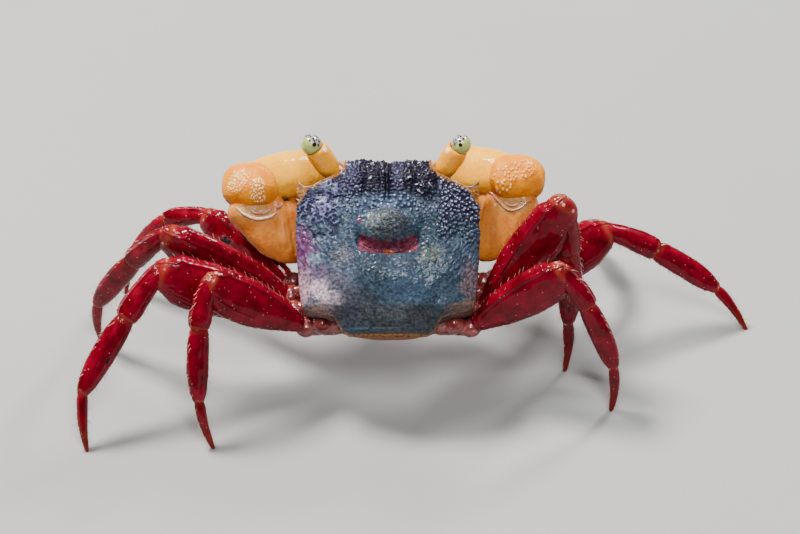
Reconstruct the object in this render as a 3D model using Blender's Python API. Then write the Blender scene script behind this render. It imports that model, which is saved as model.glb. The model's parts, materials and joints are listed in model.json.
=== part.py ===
"""Vampire crab, life size, standing on eight legs with its two claws folded in front of its face.

Sizes are in millimetres and angles in degrees; every mesh is turned into metres as it is made.
World frame: +X is the animal's right, +Y is ahead of it, +Z is up and the floor is z = 0.
Body frame: the same directions before the body is pitched nose up, with its origin in the
middle of the back, at the height of the shell's crown.
"""

import math

import bmesh
import bpy
import numpy as np
from mathutils import Vector

METRES = 0.001

# Stance of the body
BODY_PITCH = 33.0
BODY_HEIGHT = 16.15
BODY_SHIFT = (-2.962, -4.174)
JOINT_GAP = 0.15
BODY_GAP = 0.25
EYE_GAP = 0.08
SLIVER = 0.002

# Carapace
CARAPACE_BACK = -7.95
CARAPACE_FRONT = 8.3
DORSAL_POINTS = 23
WALL_POINTS = 3
WALL_BULGE = 0.12
CARAPACE_STATIONS = 21
SHELL_EDGE_ROUND = 2.6
DOME_POWER = 0.75
RELIEF_FADE = 8

# Each row: y, half width, height of the middle, height of the side edge, bottom, half width there
CARAPACE_ROWS = (
    (-7.95, 3.75, -2.0, -2.35, -2.9, 3.65),
    (-7.55, 4.3, -1.45, -2.3, -3.1, 4.15),
    (-6.8, 4.7, -0.95, -2.2, -3.3, 4.5),
    (-6.4, 5.0, -0.8, -2.15, -3.9, 4.8),
    (-6.1, 5.75, -0.68, -2.1, -4.9, 5.5),
    (-5.8, 7.05, -0.58, -2.0, -5.4, 6.75),
    (-5.45, 7.88, -0.5, -1.9, -5.6, 7.6),
    (-3.0, 8.25, -0.1, -1.7, -5.7, 8.0),
    (0.0, 8.45, 0.0, -1.55, -5.6, 8.05),
    (3.5, 8.5, -0.05, -1.45, -5.5, 7.8),
    (6.2, 8.5, -0.25, -1.4, -5.4, 7.4),
    (7.0, 8.5, -0.45, -1.45, -5.0, 7.2),
    (7.6, 8.45, -0.7, -1.55, -4.2, 7.0),
    (8.3, 8.4, -1.35, -1.9, -3.6, 6.8),
)

# Raised and sunken places on the back: x, y, reach in x, reach in y, height
BACK_FORMS = (
    (0.0, 2.2, 1.9, 1.5, 0.55),
    (-1.15, 6.1, 0.75, 1.6, 0.42),
    (1.15, 6.1, 0.75, 1.6, 0.42),
    (-3.3, 6.3, 0.95, 1.3, 0.42),
    (3.3, 6.3, 0.95, 1.3, 0.42),
    (0.0, 6.1, 0.35, 2.2, -0.35),
    (0.0, -0.35, 2.9, 0.5, -0.42),
    (-2.9, 0.6, 0.5, 1.1, -0.3),
    (2.9, 0.6, 0.5, 1.1, -0.3),
    (-5.3, 3.2, 1.8, 1.4, 0.22),
    (5.3, 3.2, 1.8, 1.4, 0.22),
    (-5.6, -1.8, 2.0, 2.2, 0.25),
    (5.6, -1.8, 2.0, 2.2, 0.25),
    (0.0, -3.2, 2.6, 1.5, 0.25),
)

# Plan of one orbit, from the front edge round to the tooth outside the eye
ORBIT_PLAN = (
    (4.0, 9.6),
    (4.1, 8.2),
    (4.45, 7.2),
    (5.3, 6.75),
    (6.2, 6.3),
    (7.0, 5.75),
    (7.5, 5.3),
    (7.95, 5.5),
    (8.25, 6.1),
    (8.5, 6.55),
    (9.6, 6.8),
    (9.6, 9.6),
)
ORBIT_TOP = 1.0
ORBIT_FLOOR = -3.7

# Underside. Each row: y, half width at the top, top, half width at the bottom, bottom
UNDERSIDE_ROWS = (
    (-7.2, 3.6, -3.0, 3.0, -5.2),
    (-6.6, 4.2, -3.0, 3.8, -7.0),
    (-5.6, 6.4, -3.0, 4.6, -8.4),
    (-2.0, 7.0, -3.0, 5.2, -9.3),
    (2.0, 7.0, -3.0, 5.2, -9.3),
    (4.6, 6.8, -3.0, 4.6, -8.7),
    (6.2, 6.4, -3.0, 3.9, -7.6),
    (7.3, 5.0, -3.4, 3.3, -5.4),
    (7.6, 4.0, -3.6, 3.0, -4.6),
)
UNDERSIDE_POINTS = 8
UNDERSIDE_STATIONS = 7
UNDERSIDE_EDGE = 1.2

# Abdomen, folded under the body. Each row: y, z, half width
ABDOMEN_ROWS = (
    (-7.2, -3.55, 4.2),
    (-7.45, -4.3, 4.6),
    (-7.45, -5.3, 4.6),
    (-7.15, -6.6, 4.2),
    (-6.5, -7.9, 3.6),
    (-5.2, -8.95, 3.1),
    (-3.5, -9.55, 2.6),
    (-1.5, -9.8, 2.1),
    (0.6, -9.8, 1.6),
    (2.4, -9.55, 1.05),
)
ABDOMEN_HALF_THICK = 0.42
ABDOMEN_STEP = 0.1
ABDOMEN_LIP = 0.14
ABDOMEN_BOW = 0.5
PLATE_SQUARENESS = 0.7
ABDOMEN_SIDES = 12

# Mouth covers
MOUTH_TOP = (1.75, 7.55, -4.9)
MOUTH_BOTTOM = (1.35, 5.1, -8.2)
MOUTH_HALF_WIDTH = 1.15
MOUTH_HALF_THICK = 0.42
# Each row: share of the way down, width as a share of the whole
MOUTH_ROWS = (
    (0.0, 0.55),
    (0.08, 0.85),
    (0.3, 1.0),
    (0.47, 0.93),
    (0.5, 0.85),
    (0.53, 0.93),
    (0.8, 1.0),
    (1.0, 0.6),
)
SIDES_OF_A_COVER = 12

# Eyes, in the body frame, mirrored for the left side
EYE_ROOT = {"left": (5.05, 7.3, -2.1), "right": (4.95, 7.3, -2.1)}
EYE_TIP = {"left": (6.85, 9.35, 0.25), "right": (6.54, 9.35, 0.25)}
CORNEA_RADIUS = 0.96
CORNEA_BEYOND_TIP = 0.35
CORNEA_OUTWARD = 0.12
# Each row: share of the way from root to tip, radius
STALK_ROWS = ((0.0, 0.75), (0.12, 0.98), (0.4, 1.1), (0.75, 1.13), (0.93, 1.08), (1.02, 0.85))
SIDES_OF_A_STALK = 14

# Antennae
ANTENNA_PATH = ((3.35, 8.1, -4.1), (3.8, 8.7, -4.5), (4.6, 9.4, -5.0), (5.3, 9.5, -5.6))
ANTENNA_RADII = (0.42, 0.36, 0.2, 0.1)

# Claws, in the body frame, mirrored for the left side
ARM_ROOT = (5.6, 2.3, -7.0)
ELBOW = (12.7, 5.2, -4.5)
PALM_ROOT = (11.4, 7.6, -3.9)
KNUCKLE = (6.6, 8.9, -6.7)
FINGER_TIP = (2.6, 8.5, -9.9)
THUMB_ROOT = (7.2, 9.2, -6.6)
THUMB_END_ABOVE_TIP = 0.55
THUMB_BOW = 0.1
# Moves the elbow and the hand a little, as the two sides differ
CLAW_SHIFT = {"right": (-0.5, 0.36, 0.2), "left": (-0.1, 0.0, 0.0)}
WRIST = {"left": (12.98, 6.6, -3.7), "right": (12.07, 7.47, -3.5)}
# Half sizes of the wrist: outward, forward and up its broad side
WRIST_SIZE = {"left": (2.66, 2.42, 2.15), "right": (2.67, 2.2, 2.1)}
# Rows of the arm and the hand's parts: share of the way, reach above, reach below, half thickness
ARM_ROWS = (
    (0.0, 1.0, 1.0, 1.0),
    (0.15, 1.35, 1.3, 1.15),
    (0.26, 1.6, 3.4, 1.2),
    (0.45, 2.05, 3.95, 1.35),
    (0.62, 2.3, 3.95, 1.5),
    (0.8, 2.4, 3.55, 1.6),
    (0.95, 2.3, 3.0, 1.6),
    (1.07, 2.0, 2.45, 1.45),
    (1.2, 0.8, 1.0, 0.7),
)
# The wrist's rows are shares of its half sizes
WRIST_ROWS = (
    (0.0, 0.2, 0.2, 0.2),
    (0.04, 0.48, 0.5, 0.48),
    (0.12, 0.72, 0.74, 0.7),
    (0.28, 0.93, 0.94, 0.91),
    (0.5, 1.0, 1.0, 1.0),
    (0.7, 0.96, 0.95, 0.97),
    (0.87, 0.78, 0.76, 0.79),
    (1.0, 0.32, 0.3, 0.34),
)
# Share of the hand's length at which its line bends down into the fixed finger
HAND_BEND = 0.53
HAND_ROWS = (
    (-0.16, 0.6, 0.6, 0.6),
    (-0.1, 1.55, 1.55, 1.3),
    (0.08, 2.15, 2.15, 1.7),
    (0.4, 2.35, 2.35, 1.8),
    (HAND_BEND, 2.1, 2.2, 1.5),
    (0.59, 0.7, 1.75, 1.1),
    (0.8, 0.35, 1.1, 0.8),
    (0.95, 0.18, 0.45, 0.4),
    (1.0, 0.08, 0.2, 0.18),
)
THUMB_ROWS = (
    (0.0, 0.5, 0.5, 0.5),
    (0.05, 0.8, 0.8, 0.75),
    (0.3, 0.88, 0.75, 0.8),
    (0.65, 0.7, 0.5, 0.62),
    (0.92, 0.35, 0.25, 0.3),
    (1.0, 0.12, 0.12, 0.12),
)
SIDES_OF_AN_ARM = 14
SIDES_OF_A_HAND = 12
STEPS_OF_A_CLAW_PIECE = 7
STEPS_OF_A_HAND = 10
CLAW_SQUARENESS = 0.9

# Walking legs, front to back. Root of each in the body frame, for the right side
LEG_ROOTS = {
    2: (9.0, -1.5, -7.8),
    3: (9.2, -3.1, -7.1),
    4: (8.8, -4.75, -6.7),
    5: (7.7, -6.4, -6.0),
}
COXA_ROOTS = {
    2: (5.5, -0.6, -7.9),
    3: (5.4, -2.6, -7.4),
    4: (5.0, -4.6, -6.6),
    5: (4.0, -6.35, -4.7),
}
# Lengths of merus, carpus, propodus and dactylus
LEG_LENGTHS = {
    2: (10.85, 4.83, 6.33, 4.6),
    3: (13.57, 5.59, 7.54, 5.28),
    4: (13.7, 5.65, 8.06, 5.8),
    5: (11.15, 4.58, 7.05, 5.15),
}
# Breadth of the merus and of the propodus
LEG_BREADTHS = {2: (3.9, 1.8), 3: (4.7, 2.0), 4: (4.9, 2.1), 5: (4.25, 1.95)}
# Heading forward of sideways, lean forward, rise of the merus, then the bend at each joint
LEG_POSES = {
    ("left", 2): (32.7, 15.4, 16.1, 44.9, 28.5, 28.9),
    ("left", 3): (7.0, -6.0, 33.0, 84.3, 7.9, 29.1),
    ("left", 4): (-17.7, 27.4, 29.9, 75.5, 4.4, 35.1),
    ("left", 5): (-27.5, 24.2, 42.4, 106.7, 12.8, 17.6),
    ("right", 2): (35.1, 45.4, 2.6, 42.4, 27.7, 43.5),
    ("right", 3): (23.6, -35.0, 12.6, 48.6, 8.9, 21.3),
    ("right", 4): (10.3, -7.8, 56.8, 139.6, 6.2, 3.2),
    ("right", 5): (-9.0, -8.8, 43.3, 98.4, 10.3, 23.4),
}
# The coxa's breadth as a share of the merus breadth, and how far each segment bows up
COXA_BREADTH = 0.24
BOWS = {"merus": 0.0, "carpus": 0.1, "propodus": 0.12, "dactylus": 0.2}
# Rows of each segment: share of its length, reach above its line, reach below, half thickness,
# all three as shares of its breadth
COXA_ROWS = (
    (0.0, 0.8, 0.8, 0.64),
    (0.12, 1.1, 1.1, 0.72),
    (0.45, 1.15, 1.15, 0.75),
    (0.62, 0.95, 0.95, 0.68),
    (0.72, 1.0, 1.0, 0.7),
    (0.93, 0.9, 0.9, 0.65),
    (1.03, 0.6, 0.6, 0.47),
)
MERUS_ROWS = (
    (0.0, 0.13, 0.13, 0.15),
    (0.04, 0.16, 0.16, 0.17),
    (0.14, 0.235, 0.245, 0.21),
    (0.3, 0.36, 0.42, 0.235),
    (0.5, 0.43, 0.56, 0.245),
    (0.7, 0.43, 0.62, 0.24),
    (0.85, 0.37, 0.58, 0.23),
    (0.895, 0.39, 0.51, 0.225),
    (0.92, 0.29, 0.48, 0.22),
    (0.98, 0.23, 0.4, 0.21),
    (1.02, 0.16, 0.31, 0.18),
)
CARPUS_ROWS = (
    (-0.06, 0.18, 0.24, 0.22),
    (0.0, 0.3, 0.37, 0.34),
    (0.12, 0.38, 0.43, 0.41),
    (0.45, 0.47, 0.5, 0.46),
    (0.8, 0.54, 0.55, 0.47),
    (0.97, 0.52, 0.52, 0.42),
    (1.02, 0.38, 0.38, 0.32),
)
PROPODUS_ROWS = (
    (-0.05, 0.22, 0.24, 0.21),
    (0.0, 0.4, 0.4, 0.33),
    (0.1, 0.52, 0.52, 0.39),
    (0.4, 0.56, 0.56, 0.4),
    (0.75, 0.52, 0.51, 0.37),
    (0.93, 0.36, 0.36, 0.3),
    (1.01, 0.22, 0.22, 0.2),
)
DACTYLUS_ROWS = (
    (-0.05, 0.14, 0.14, 0.12),
    (0.0, 0.22, 0.22, 0.19),
    (0.12, 0.27, 0.27, 0.22),
    (0.5, 0.21, 0.2, 0.18),
    (0.85, 0.13, 0.12, 0.12),
    (1.03, 0.08, 0.08, 0.08),
)
TOE_BELOW_FLOOR = 0.12
SIDES_OF_A_LEG = 10
SIDES_OF_A_TOE = 8
SIDES_OF_A_COXA = 8

# Colours: red, green, blue, then roughness
COLOURS = {
    "carapace": (0.085, 0.135, 0.18, 0.35),
    "underside": (0.42, 0.16, 0.1, 0.5),
    "abdomen": (0.55, 0.2, 0.07, 0.45),
    "mouth": (0.5, 0.26, 0.12, 0.45),
    "antenna": (0.5, 0.2, 0.06, 0.4),
    "stalk": (0.78, 0.3, 0.04, 0.2),
    "cornea": (0.36, 0.45, 0.28, 0.12),
    "claw": (0.8, 0.36, 0.1, 0.35),
    "leg": (0.25, 0.004, 0.012, 0.22),
}


def clear_scene():
    for obj in list(bpy.data.objects):
        bpy.data.objects.remove(obj, do_unlink=True)


def curve_through(rows, at):
    """Every column of the rows at position `at` of the first, joined smoothly and with no overshoot."""
    table = np.array(rows, float)
    xs = table[:, 0]
    ys = table[:, 1:]
    at = min(max(at, xs[0]), xs[-1])
    steps = np.diff(xs)[:, None]
    slopes = np.diff(ys, axis=0) / steps
    tangents = np.zeros_like(ys)
    tangents[0] = slopes[0]
    tangents[-1] = slopes[-1]
    same_way = slopes[:-1] * slopes[1:] > 0
    harmonic = 2 * slopes[:-1] * slopes[1:] / np.where(same_way, slopes[:-1] + slopes[1:], 1)
    tangents[1:-1] = np.where(same_way, harmonic, 0)
    i = int(min(np.searchsorted(xs, at, side="right") - 1, len(xs) - 2))
    h = xs[i + 1] - xs[i]
    t = (at - xs[i]) / h
    return (
        ys[i] * (1 + 2 * t) * (1 - t) ** 2
        + tangents[i] * h * t * (1 - t) ** 2
        + ys[i + 1] * t * t * (3 - 2 * t)
        + tangents[i + 1] * h * t * t * (t - 1)
    )


def power(value, exponent):
    return math.copysign(abs(value) ** exponent, value)


def to_world(point):
    """A body frame point, pitched and lifted into the world frame."""
    pitch = math.radians(BODY_PITCH)
    x, y, z = point
    return Vector(
        (
            x + BODY_SHIFT[0],
            y * math.cos(pitch) - z * math.sin(pitch) + BODY_SHIFT[1],
            y * math.sin(pitch) + z * math.cos(pitch) + BODY_HEIGHT,
        )
    )


def sided(point, side):
    """A right side point, mirrored for the left side."""
    return (point[0] if side == "right" else -point[0], point[1], point[2])


def material_for(name, kind):
    red, green, blue, roughness = COLOURS[kind]
    made = bpy.data.materials.new(name)
    made.use_nodes = True
    shader = made.node_tree.nodes["Principled BSDF"]
    shader.inputs["Base Color"].default_value = (red, green, blue, 1)
    shader.inputs["Roughness"].default_value = roughness
    shader.inputs["Metallic"].default_value = 0
    return made


def solid_from_rings(name, rings, kind):
    """A closed mesh skinned over rings of points, with a flat face at each end."""
    form = bmesh.new()
    rows = [[form.verts.new(Vector(p) * METRES) for p in ring] for ring in rings]
    count = len(rows[0])
    for near, far in zip(rows, rows[1:]):
        for i in range(count):
            j = (i + 1) % count
            form.faces.new((near[i], near[j], far[j], far[i]))
    form.faces.new(rows[0])
    form.faces.new(rows[-1])
    bmesh.ops.recalc_face_normals(form, faces=form.faces[:])
    mesh = bpy.data.meshes.new(name)
    form.to_mesh(mesh)
    form.free()
    for face in mesh.polygons:
        face.use_smooth = True
    obj = bpy.data.objects.new(name, mesh)
    bpy.context.collection.objects.link(obj)
    if kind:
        mesh.materials.append(material_for(name, kind))
    return obj


def ring_about(centre, side, up, half, above, below, sides, squareness=1.0):
    """One closed section: `half` to each side, `above` and `below` along up."""
    ring = []
    for i in range(sides):
        turn = 2 * math.pi * i / sides
        across = power(math.cos(turn), squareness) * half
        rise = power(math.sin(turn), squareness) * (above if math.sin(turn) > 0 else below)
        ring.append(Vector(centre) + side * across + up * rise)
    return ring


def tube_along(name, path, radii, kind, sides):
    """A round piece along a path of world points."""
    points = [Vector(p) for p in path]
    rings = []
    for i, point in enumerate(points):
        before = points[max(i - 1, 0)]
        after = points[min(i + 1, len(points) - 1)]
        along = (after - before).normalized()
        side = along.cross(Vector((0, 0, 1))).normalized()
        up = side.cross(along).normalized()
        rings.append(ring_about(point, side, up, radii[i], radii[i], radii[i], sides))
    return solid_from_rings(name, rings, kind)


def keep_largest(obj):
    """Removes the crumbs that a cut can leave, so that the piece is one solid."""
    form = bmesh.new()
    form.from_mesh(obj.data)
    form.faces.ensure_lookup_table()
    left = set(form.faces)
    groups = []
    while left:
        stack = [left.pop()]
        group = set(stack)
        while stack:
            face = stack.pop()
            for edge in face.edges:
                if len(edge.link_faces) != 2:
                    continue
                for other in edge.link_faces:
                    if other in left:
                        left.discard(other)
                        group.add(other)
                        stack.append(other)
        groups.append(group)
    if len(groups) > 1:
        groups.sort(key=lambda group: sum(face.calc_area() for face in group))
        crumbs = [face for group in groups[:-1] for face in group]
        bmesh.ops.delete(form, geom=crumbs, context="FACES")
        form.to_mesh(obj.data)
    form.free()


def smooth_slivers(obj):
    """Closes up the faces that a cut left thinner than a thousandth of a millimetre."""
    form = bmesh.new()
    form.from_mesh(obj.data)
    bmesh.ops.dissolve_degenerate(form, dist=SLIVER * METRES, edges=form.edges[:])
    form.to_mesh(obj.data)
    form.free()


def grown_copy(obj, gap):
    """A hidden copy of a piece, grown by `gap` all round."""
    form = bmesh.new()
    form.from_mesh(obj.data)
    bmesh.ops.triangulate(form, faces=form.faces[:])
    form.normal_update()
    moves = [(vertex, vertex.normal * gap * METRES) for vertex in form.verts]
    for vertex, move in moves:
        vertex.co += move
    mesh = bpy.data.meshes.new("grown")
    form.to_mesh(mesh)
    form.free()
    return bpy.data.objects.new("grown", mesh)


def cut_away(target, cutter, solver="EXACT"):
    """Subtracts the cutter from the target, then removes the cutter."""
    if cutter.name not in bpy.context.collection.objects:
        bpy.context.collection.objects.link(cutter)
    cutter.hide_render = True
    cutter.display_type = "WIRE"
    cut = target.modifiers.new("cut", "BOOLEAN")
    cut.operation = "DIFFERENCE"
    cut.solver = solver
    cut.object = cutter
    bpy.context.view_layer.update()
    graph = bpy.context.evaluated_depsgraph_get()
    result = bpy.data.meshes.new_from_object(target.evaluated_get(graph))
    target.modifiers.remove(cut)
    target.data = result
    bpy.data.objects.remove(cutter, do_unlink=True)
    keep_largest(target)
    smooth_slivers(target)


def make_room(target, neighbour, gap=JOINT_GAP):
    """Hollows the target wherever the neighbour sits in it, leaving a gap."""
    cut_away(target, grown_copy(neighbour, gap), "MANIFOLD")


def back_relief(x, y):
    """Height added to the back at a place in the body frame."""
    added = 0.0
    for cx, cy, rx, ry, height in BACK_FORMS:
        away = ((x - cx) / rx) ** 2 + ((y - cy) / ry) ** 2
        added += height * math.exp(-away)
    return added


def carapace_ring(y):
    half, middle, edge, bottom, half_bottom = curve_through(CARAPACE_ROWS, y)
    ring = []
    for i in range(DORSAL_POINTS):
        turn = math.pi * i / (DORSAL_POINTS - 1)
        share = -math.cos(turn)
        x = half * share
        dome = (1 - abs(share) ** SHELL_EDGE_ROUND) ** DOME_POWER
        fade = 1 - abs(share) ** RELIEF_FADE
        ring.append((x, y, edge + (middle - edge) * dome + back_relief(x, y) * fade))
    for i in range(1, WALL_POINTS + 1):
        share = i / WALL_POINTS
        out = half + (half_bottom - half) * share + WALL_BULGE * math.sin(math.pi * share)
        ring.append((out, y, edge + (bottom - edge) * share))
    for share in (0.5, 0.0, -0.5):
        ring.append((half_bottom * share, y, bottom))
    for i in range(WALL_POINTS, 0, -1):
        share = i / WALL_POINTS
        out = half + (half_bottom - half) * share + WALL_BULGE * math.sin(math.pi * share)
        ring.append((-out, y, edge + (bottom - edge) * share))
    return [to_world(p) for p in ring]


def build_carapace():
    ys = np.linspace(CARAPACE_BACK, CARAPACE_FRONT, CARAPACE_STATIONS)
    ys = sorted(set(ys.tolist()) | {row[0] for row in CARAPACE_ROWS})
    shell = solid_from_rings("carapace", [carapace_ring(y) for y in ys], "carapace")
    for sign in (-1, 1):
        top = [to_world((sign * x, y, ORBIT_TOP)) for x, y in ORBIT_PLAN]
        low = [to_world((sign * x, y, ORBIT_FLOOR)) for x, y in ORBIT_PLAN]
        cut_away(shell, solid_from_rings("orbit", [low, top], None))
    return shell


def underside_ring(y):
    half_top, top, half_low, low = curve_through(UNDERSIDE_ROWS, y)
    ring = [(half_top, y, top), (-half_top, y, top)]
    for i in range(UNDERSIDE_POINTS):
        turn = math.pi * i / (UNDERSIDE_POINTS - 1)
        x = -power(math.cos(turn), 0.7)
        depth = math.sin(turn) ** 0.6
        half = half_top + (half_low - half_top) * depth
        rim = top - UNDERSIDE_EDGE
        ring.append((x * half, y, rim + (low - rim) * depth))
    return [to_world(p) for p in ring]


def build_underside():
    rows = [row[0] for row in UNDERSIDE_ROWS]
    ys = sorted(set(np.linspace(rows[0], rows[-1], UNDERSIDE_STATIONS).tolist()) | set(rows))
    return solid_from_rings("underside", [underside_ring(y) for y in ys], "underside")


def build_abdomen():
    """Seven plates, each starting a little proud of the one before."""
    rings = []
    centres = [Vector((0, row[0], row[1])) for row in ABDOMEN_ROWS]
    for i, (y, z, half) in enumerate(ABDOMEN_ROWS):
        along = (centres[min(i + 1, len(centres) - 1)] - centres[max(i - 1, 0)]).normalized()
        out = Vector((0, -along.z, along.y)) * -1
        for step in (0.0, ABDOMEN_STEP):
            centre = centres[i] + along * (ABDOMEN_LIP if step else -ABDOMEN_LIP)
            thick = ABDOMEN_HALF_THICK + step
            ring = []
            for k in range(ABDOMEN_SIDES):
                turn = 2 * math.pi * k / ABDOMEN_SIDES
                across = power(math.cos(turn), PLATE_SQUARENESS) * (half - step)
                rise = power(math.sin(turn), PLATE_SQUARENESS) * thick
                bow = -ABDOMEN_BOW * (across / half) ** 2
                ring.append(to_world(centre + Vector((across, 0, 0)) + out * (rise + bow)))
            rings.append(ring)
    return solid_from_rings("abdomen", rings, "abdomen")


def build_mouth(side):
    top = Vector(sided(MOUTH_TOP, side))
    low = Vector(sided(MOUTH_BOTTOM, side))
    along = (low - top).normalized()
    across = Vector((1, 0, 0))
    out = across.cross(along).normalized()
    rings = []
    for share, wide in MOUTH_ROWS:
        centre = top + (low - top) * share
        half = MOUTH_HALF_WIDTH * wide
        thick = MOUTH_HALF_THICK * (1 + wide) / 2
        ring = ring_about(centre, across, out, half, thick, thick, SIDES_OF_A_COVER)
        rings.append([to_world(p) for p in ring])
    return solid_from_rings("mouth_cover_" + side, rings, "mouth")


def build_cornea(side, centre):
    form = bmesh.new()
    bmesh.ops.create_uvsphere(form, u_segments=14, v_segments=8, radius=CORNEA_RADIUS * METRES)
    mesh = bpy.data.meshes.new("cornea_" + side)
    form.to_mesh(mesh)
    form.free()
    for face in mesh.polygons:
        face.use_smooth = True
    for vertex in mesh.vertices:
        vertex.co += centre * METRES
    cornea = bpy.data.objects.new("cornea_" + side, mesh)
    bpy.context.collection.objects.link(cornea)
    mesh.materials.append(material_for("cornea_" + side, "cornea"))
    return cornea


def build_eye(side):
    root = to_world(sided(EYE_ROOT[side], side))
    tip = to_world(sided(EYE_TIP[side], side))
    path = [root + (tip - root) * share for share, _ in STALK_ROWS]
    radii = [radius for _, radius in STALK_ROWS]
    stalk = tube_along("eyestalk_" + side, path, radii, "stalk", SIDES_OF_A_STALK)
    along = (tip - root).normalized()
    out = Vector((1 if side == "right" else -1, 0, 0))
    outward = (out - along * out.dot(along)).normalized()
    cornea = build_cornea(side, tip + along * CORNEA_BEYOND_TIP + outward * CORNEA_OUTWARD)
    make_room(stalk, cornea, EYE_GAP)
    return stalk, cornea


def build_antenna(side):
    path = [to_world(sided(p, side)) for p in ANTENNA_PATH]
    return tube_along("antenna_" + side, path, ANTENNA_RADII, "antenna", 8)


def claw_point(point, side, share):
    """A claw point, shifted by a share of this side's own shift."""
    x, y, z = sided(point, side)
    shift = CLAW_SHIFT[side]
    return to_world((x + shift[0] * share, y + shift[1] * share, z + shift[2] * share))


def loft_between(name, start, end, face, rows, kind, sides, bow=0.0):
    """A piece from start to end. `face` is the way its broad side looks, and `bow` lifts its middle.

    Each row: share of the way, reach above, reach below, half thickness, in millimetres."""
    along = (end - start).normalized()
    up = Vector(face).cross(along).normalized()
    if up.y < 0:
        up = -up
    side = along.cross(up).normalized()
    rings = []
    for share, above, below, half in rows:
        lift = bow * math.sin(math.pi * min(max(share, 0), 1))
        centre = start + (end - start) * share + up * lift
        rings.append(ring_about(centre, side, up, half, above, below, sides, CLAW_SQUARENESS))
    return solid_from_rings(name, rings, kind)


def smooth_rows(rows, steps):
    """The rows of a segment, with more of them worked out in between."""
    start = rows[0][0]
    end = rows[-1][0]
    shares = sorted({row[0] for row in rows} | set(np.linspace(start, end, steps).tolist()))
    kept = [shares[0]]
    for share in shares[1:]:
        if share - kept[-1] > 0.012:
            kept.append(share)
    return [(share, *curve_through(rows, share)) for share in kept]


def build_hand(side, palm, knuckle, tip, up):
    """The swollen palm, which runs on into the fixed finger."""
    along = (knuckle - palm).normalized()
    rings = []
    for share, above, below, half in smooth_rows(HAND_ROWS, STEPS_OF_A_HAND):
        if share < HAND_BEND:
            centre = palm + (knuckle - palm) * (share / HAND_BEND)
        else:
            centre = knuckle + (tip - knuckle) * ((share - HAND_BEND) / (1 - HAND_BEND))
        way = (along * (1 - share) + (tip - knuckle).normalized() * share).normalized()
        rise = (up - way * up.dot(way)).normalized()
        across = way.cross(rise).normalized()
        rings.append(
            ring_about(centre, across, rise, half, above, below, SIDES_OF_A_HAND, CLAW_SQUARENESS)
        )
    return solid_from_rings("hand_" + side, rings, "claw")


def build_claw(side):
    root = claw_point(ARM_ROOT, side, 0)
    elbow = claw_point(ELBOW, side, 1)
    palm = claw_point(PALM_ROOT, side, 1)
    knuckle = claw_point(KNUCKLE, side, 1)
    tip = claw_point(FINGER_TIP, side, 1)
    thumb = claw_point(THUMB_ROOT, side, 1)
    pitch = math.radians(BODY_PITCH)
    back = Vector((0, -math.sin(pitch), math.cos(pitch)))

    arm_rows = smooth_rows(ARM_ROWS, STEPS_OF_A_CLAW_PIECE)
    arm = loft_between("arm_" + side, root, elbow, back, arm_rows, "claw", SIDES_OF_AN_ARM)

    middle = to_world(sided(WRIST[side], side))
    outward, forward, upward = WRIST_SIZE[side]
    reach = Vector((outward if side == "right" else -outward, 0, 0))
    sizes = [(s, a * forward, b * forward, h * upward) for s, a, b, h in WRIST_ROWS]
    wrist_rows = smooth_rows(sizes, STEPS_OF_A_CLAW_PIECE)
    wrist = loft_between(
        "wrist_" + side, middle + reach, middle - reach, back, wrist_rows, "claw", SIDES_OF_AN_ARM
    )

    up = back.cross((knuckle - palm).normalized()).normalized()
    if up.y < 0:
        up = -up
    hand = build_hand(side, palm, knuckle, tip, up)
    thumb_rows = smooth_rows(THUMB_ROWS, STEPS_OF_A_CLAW_PIECE)
    finger = loft_between(
        "finger_" + side,
        thumb,
        tip + up * THUMB_END_ABOVE_TIP,
        back,
        thumb_rows,
        "claw",
        SIDES_OF_A_HAND,
        THUMB_BOW,
    )
    make_room(arm, wrist)
    make_room(wrist, hand)
    make_room(hand, finger)
    return arm, wrist, hand, finger


def leg_directions(side, pose):
    """The leg's own sideways direction, its up and the normal of its plane."""
    heading, lean = (math.radians(v) for v in pose[:2])
    sign = 1 if side == "right" else -1
    ahead = Vector((sign * math.cos(heading), math.sin(heading), 0))
    normal = ahead.cross(Vector((0, 0, 1)))
    up = Vector((0, 0, 1)) * math.cos(lean) + normal * math.sin(lean)
    return ahead, up


def leg_joints(side, number):
    """Root, knee and the next joints down to the toe, which is made to reach the floor."""
    pose = LEG_POSES[(side, number)]
    ahead, up = leg_directions(side, pose)
    root = to_world(sided(LEG_ROOTS[number], side))
    low, high = -40.0, 40.0
    for _ in range(60):
        extra = (low + high) / 2
        points = [root]
        rise = pose[2] + extra
        for bend, length in zip((0, *pose[3:]), LEG_LENGTHS[number]):
            rise -= bend
            turn = math.radians(rise)
            points.append(points[-1] + (ahead * math.cos(turn) + up * math.sin(turn)) * length)
        if points[-1].z > -TOE_BELOW_FLOOR:
            high = extra
        else:
            low = extra
    return points, ahead, up


def leg_segment(name, start, end, ahead, up, rows, breadth, bow, sides):
    """One segment of a leg, drawn out from start to end along rows that are shares of its breadth."""
    along = (end - start).normalized()
    normal = ahead.cross(up).normalized()
    rise = normal.cross(along).normalized()
    if rise.dot(up) < 0 and abs(along.dot(up)) < 0.8:
        rise = -rise
    length = (end - start).length
    rings = []
    for share, above, below, half in rows:
        centre = start + along * (length * share)
        centre = centre + rise * (bow * math.sin(math.pi * min(max(share, 0), 1)))
        rings.append(
            ring_about(
                centre, normal, rise, half * breadth, above * breadth, below * breadth, sides
            )
        )
    return solid_from_rings(name, rings, "leg")


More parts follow.
